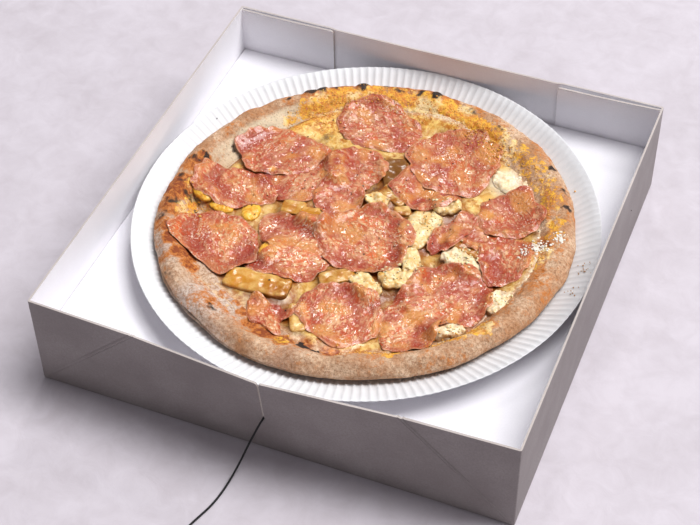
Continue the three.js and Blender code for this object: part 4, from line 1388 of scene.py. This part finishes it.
def layOver(number, facts):
    # the slice's underside over the bed, where it lies on the bed's grid, and how far it bulges
    a, b = facts["size"]
    dx, dy = bedX - facts["at"][0], bedY - facts["at"][1]
    u, v = turned(dx, dy, -math.radians(facts.get("turn", 0)))
    u, v = u / a, v / b
    around = np.arctan2(v, u)
    share = np.hypot(u, v) / sliceReach(facts, number, around)
    margin = 1 + salami["margin"] / min(a, b)
    window = tuple(slice(n.min(), n.max() + 1) for n in np.where(share < margin + 0.1))
    dx, dy, share, around = (grid[window] for grid in (dx, dy, share, around))
    floor = widened(bedHeights)[window] + salami["clearance"]
    inside = share < margin
    height = drape(floor, floor, inside, salami["drapeRounds"], salami["stiffness"])
    bulge = height - drape(height, 0 * height - 1, inside, salami["levelRounds"], 1)
    direction, rise = facts.get("curl", (0, 0))
    towards = math.radians(direction)
    height += rise * ramp(0.25, 1.1, (dx * math.cos(towards) + dy * math.sin(towards)) / ((a + b) / 2))
    grid = plan(bedX[window].ravel(), bedY[window].ravel())
    wave = noiseAt(grid, 11, number) + 0.5 * noiseAt(grid, 5.5, number + 30)
    loose = 1 - 0.85 * ramp(0.6, 0.95, share)
    height += salami["wave"] * loose * np.clip(wave + 0.3, 0, None).reshape(height.shape)
    ruffle = np.sin(6 * around + 1.3 * number) + 0.7 * np.sin(11 * around + 2.9 * number)
    height += salami["ruffle"] * np.clip(ruffle, 0, None) * ramp(0.7, 1, share)
    return height, bulge, window, share < 1


def makeSlice(number, facts, material):
    height, bulge, window, covered = layOver(number, facts)
    under, ridge = bedHeights.copy(), np.zeros(bedX.shape)
    under[window], ridge[window] = height, bulge
    centreX, centreY = facts["at"]
    reach = 1 + (sliceReach(facts, number, discAngle) - 1) * discRadius ** 2
    across, along = (half * reach * discRadius for half in facts["size"])
    turn = math.radians(facts.get("turn", 0))
    dx, dy = turned(across * np.cos(discAngle), along * np.sin(discAngle), turn)
    x, y = centreX + dx, centreY + dy
    flat = plan(x, y)
    relief = salami["relief"] * (noiseAt(flat, 3.4, number + 50) + 0.5 * noiseAt(flat, 1.8, number))
    thick = salami["thickness"] * (1 - salami["rimThinning"] * ramp(0.85, 1, discRadius))
    z = sample(under, x, y) + discLevel * np.maximum(thick + relief, salami["thinnest"])
    z -= salami["pressed"] * ramp(0.88, 1, discRadius)
    piece = copyOf(disc, f"salamiSlice{number + 1:02d}")
    writePoints(piece, plan(x + dough["middle"][0], y + dough["middle"][1], z))

    # each slice has its own piece of the pattern, turned its own way
    grainX, grainY = turned(x - centreX, y - centreY, number * salami["spin"])
    grain = piece.data.attributes.new("grain", "FLOAT_VECTOR", "POINT")
    local = plan(grainX + 90 * number, grainY * 0.72, discLevel * 2)
    grain.data.foreach_set("vector", np.ascontiguousarray(local, dtype=np.float32).ravel())
    patchy = 0.5 + noiseAt(flat, 9, number + 70)
    wobble = 1.6 * noiseAt(flat, 5, number + 90)
    amber, dark = (spotsAt(x + wobble, y - wobble, spots) for spots in (amberSpots, darkToneAndShadeSpots))
    bulging = sample(ridge, x, y)
    thin = 0.65 * ramp(0.2, 1.3, bulging) * ramp(-0.4, 0.3, noiseAt(flat, 6, number + 130))
    thin = np.maximum(thin, 0.6 * ramp(0.1, 0.5, noiseAt(flat, 12, number + 150)))
    # painted shade where the slice sags below its neighbours, with the slice's own darker lean
    sagShadeAndTone = np.maximum(0.7 * ramp(0.1, 1, -bulging), facts.get("deep", 0))
    glints = 0.55 * ramp(0, 0.5, noiseAt(flat, 7, number + 110))
    addValues(
        piece,
        rim=np.clip(ramp(0.84, 0.97, discRadius) * patchy * 0.9, 0, 0.7),
        # painted highlight: a pale wet line along the edge, partly fat
        lip=0.55 * ramp(0.958, 0.978, discRadius) * np.clip(3 * patchy - 1.1, 0, 1),
        amber=np.maximum(amber, thin),
        deep=np.maximum(dark, sagShadeAndTone),
        wet=np.clip(np.maximum(spotsAt(x, y, wetGlintSpots), glints), 0, 1),
    )
    dress(piece, material, "salami", f"salami_{number + 1:02d}")
    bed = bedHeights[window]
    bedHeights[window] = np.where(covered, np.maximum(bed, height + salami["thickness"]), bed)


salamiFinish = salamiMaterial()
for number, facts in enumerate(salami["slices"]):
    makeSlice(number, facts, salamiFinish)
bpy.data.objects.remove(disc)


def paintGapShade(piece):
    # where the toppings stand high around it, the cheese is painted darker: shade, and some dark oil
    around = drape(bedHeights, 0 * bedHeights, everywhere, cheese["gapRounds"], 1)
    points = readPoints(piece) / mm
    x, y = points[:, 0] - dough["middle"][0], points[:, 1] - dough["middle"][1]
    sunk = sample(around, x, y) - points[:, 2]
    addValues(piece, gap=cheese["gapShade"] * ramp(*cheese["gapDepths"], sunk))


paintGapShade(meltedCheese)
print("salami laid")


# ---- crumbs and pepper, laid last on whatever is uppermost

scatters = [  # sizes run from the smallest to the largest, and sink is how deep a crumb lies in
    {   # cheese that baked to crumbs along the rim
        "name": "goldenCrumbs", "slot": "melted_cheese", "seed": 3, "size": (0.3, 0.85), "flatness": 0.5,
        "count": 1300, "where": goldenSpots, "sink": 0.35,
        "material": ("bakedCheeseCrumb", ("#B8641A", "#E29A2C", "#F4C65A"), 0.9, 0.35, 0.1),
    },
    {   # crisp white cheese flakes at the right
        "name": "whiteFlakes", "slot": "cream", "seed": 5, "size": (0.4, 1.3), "flatness": 0.35,
        "count": 150, "where": [(104, 15, 8, 1), (113, 24, 5, 1), (96, 10, 5, 0.6)], "sink": 0.2,
        "material": ("crispWhiteCheese", ("#E7D6BC", "#F3E9DB", "#FBF6EE"), 0.9, 0.4, 0.1),
    },
    {   # crumbs of potato round the pale pieces
        "name": "potatoCrumbs", "slot": "mash", "seed": 8, "size": (0.35, 1.2), "flatness": 0.6,
        "count": 190, "where": [
            (35, 10, 11, 0.6), (40, 28, 8, 0.4), (40, -25, 10, 0.4), (30, -40, 10, 0.4), (64, -8, 9, 1.5),
            (77, -66, 8, 0.7), (95, -32, 8, 0.7),
        ],
        "sink": 0.3,
        "material": ("potatoCrumb", ("#DEC67E", "#EBDDA8", "#F8F0D4"), 0.9, 0.5, 0.1),
    },
    {   # coarsely ground black pepper
        "name": "pepper", "slot": "potato", "seed": 13, "size": (0.22, 0.6), "flatness": 0.7,
        "count": 230, "where": [
            (35, 10, 18, 1), (40, -28, 16, 1), (28, -44, 14, 1), (66, -10, 18, 1), (78, -64, 12, 0.7),
            (95, -30, 10, 0.7), (-35, -74, 16, 0.8), (-50, 30, 60, 0.3), (20, 20, 70, 0.4),
            (80, 50, 20, 0.5),
        ],
        "sink": 0.15,
        "material": ("groundPepper", ("#120D0B", "#2A1E17", "#4A382A"), 0.4, 0.6, 0.0),
    },
    {   # crumbs that fell on the plate
        "name": "plateCrumbs", "slot": "crust", "seed": 21, "size": (0.25, 0.7), "flatness": 0.7,
        "count": 30, "where": [(133, 8, 8, 1), (131, -10, 6, 0.8)], "sink": 0.1,
        "material": ("crustCrumb", ("#9A6B3C", "#C2925A", "#D9B282"), 0.5, 0.7, 0.0),
    },
]


def topAt(x, y):
    # the uppermost surface: the pizza's, or the plate's outside it
    inside = (np.abs(x) < bed["reach"] - 1) & (np.abs(y) < bed["reach"] - 1)
    pizza = np.where(inside, sample(bedHeights, x, y), 0)
    return np.maximum(pizza, plateHeight(x + dough["middle"][0], y + dough["middle"][1]))


def makeScatter(facts):
    count = facts["count"]
    luck = np.random.default_rng(facts["seed"])
    spots = np.array(facts["where"])
    share = spots[:, 2] ** 2 * spots[:, 3]
    chosen = spots[luck.choice(len(spots), count, p=share / share.sum())]
    away = luck.normal(0, 0.45, (count, 2)) * chosen[:, 2:3]
    x, y = chosen[:, 0] + away[:, 0], chosen[:, 1] + away[:, 1]
    z = topAt(x, y)
    size = luck.uniform(*facts["size"], count) * luck.uniform(0.6, 1, count)
    bpy.ops.object.select_all(action="DESELECT")
    bpy.ops.mesh.primitive_ico_sphere_add(subdivisions=2, radius=1)
    seedPiece = bpy.context.object
    ball = readPoints(seedPiece)
    faces = np.array([tuple(f.vertices) for f in seedPiece.data.polygons])
    bpy.data.objects.remove(seedPiece)
    points = []
    for k in range(count):
        axes = luck.uniform(0.55, 1.15, 3) * size[k]
        axes[2] *= facts["flatness"]
        lumpy = 1 + 0.22 * np.sin(ball @ luck.normal(0, 3, 3) + luck.uniform(0, 6))
        shape = ball * lumpy[:, None] * axes
        across, along = turned(shape[:, 0], shape[:, 1], luck.uniform(0, math.tau))
        rise = z[k] + axes[2] * (1 - 2 * facts["sink"])
        points.append(np.column_stack((across + x[k], along + y[k], shape[:, 2] + rise)))
    placed = (np.concatenate(points) + (*dough["middle"], 0)) * mm
    polygons = np.concatenate([faces + k * len(ball) for k in range(count)])
    mesh = bpy.data.meshes.new(facts["name"])
    mesh.from_pydata(placed.tolist(), [], polygons.tolist())
    piece = bpy.data.objects.new(facts["name"], mesh)
    bpy.context.scene.collection.objects.link(piece)
    activate(piece)
    bpy.ops.object.shade_smooth()
    dress(piece, lumpMaterial(*facts["material"]), facts["slot"])


for facts in scatters:
    makeScatter(facts)
print("crumbs scattered")


# ---- floor, light and world

studio = {
    "lamps": {  # where it shines from, its distance and width in metres, and its power in watts
        "window": ((0.6, 0.22, 0.77), 4.8, 1.5, 80),
        "softBox": ((0.27, 0.24, 0.93), 4.6, 2.7, 180),
        "backLamp": ((-0.16, 0.66, 0.74), 4.8, 0.55, 25),
    },
    "world": 0.26,
    "worldColour": "#F4F1F6",
}


def floorMaterial():
    # smooth grey-lilac plaster table, trowelled by hand: clouds of lighter skim and small pits
    material, tree = newMaterial("trowelledPlaster")
    coords = addNode(tree, "TexCoord").outputs["Object"]
    cloud, skim = (
        addNode(tree, "TexNoise", {
            "Vector": coords, "Scale": 1000 / size, "Detail": 6, "Roughness": rough, "Distortion": bent,
        }).outputs["Fac"]
        for size, rough, bent in ((60, 0.6, 0), (16, 0.68, 0.6)))
    both = addNode(tree, "Math", {0: cloud, 1: skim}, operation="ADD").outputs[0]
    colour = paint(tree, {}, [("skimmed", both, 0.7, 1.2, 0, 1)], [
        ("plaster", "skimmed", "#BFB7BE", "#CEC7CF"),
    ])
    finishMaterial(tree, skim, 0.35, 0.6, {"Base Color": colour, "Roughness": 0.75})
    return material


def makeStudio():
    bpy.ops.mesh.primitive_plane_add(size=9, location=(0, 0, -0.0002))
    floor = bpy.context.object
    floor.name = "studioFloor"
    floor.data.materials.append(floorMaterial())
    for name, (direction, distance, across, power) in studio["lamps"].items():
        towards = Vector(direction).normalized()
        bpy.ops.object.light_add(type="AREA", location=towards * distance)
        lamp = bpy.context.object
        lamp.name = name
        lamp.data.shape = "DISK"
        lamp.data.size = across
        lamp.data.energy = power
        lamp.rotation_euler = towards.to_track_quat("Z", "Y").to_euler()
    world = bpy.data.worlds.new("studioWorld")
    world.use_nodes = True
    background = world.node_tree.nodes["Background"]
    background.inputs["Color"].default_value = linear(studio["worldColour"])
    background.inputs["Strength"].default_value = studio["world"]
    bpy.context.scene.world = world
    bpy.context.scene.view_settings.view_transform = "Standard"


makeStudio()
print("studio lit")
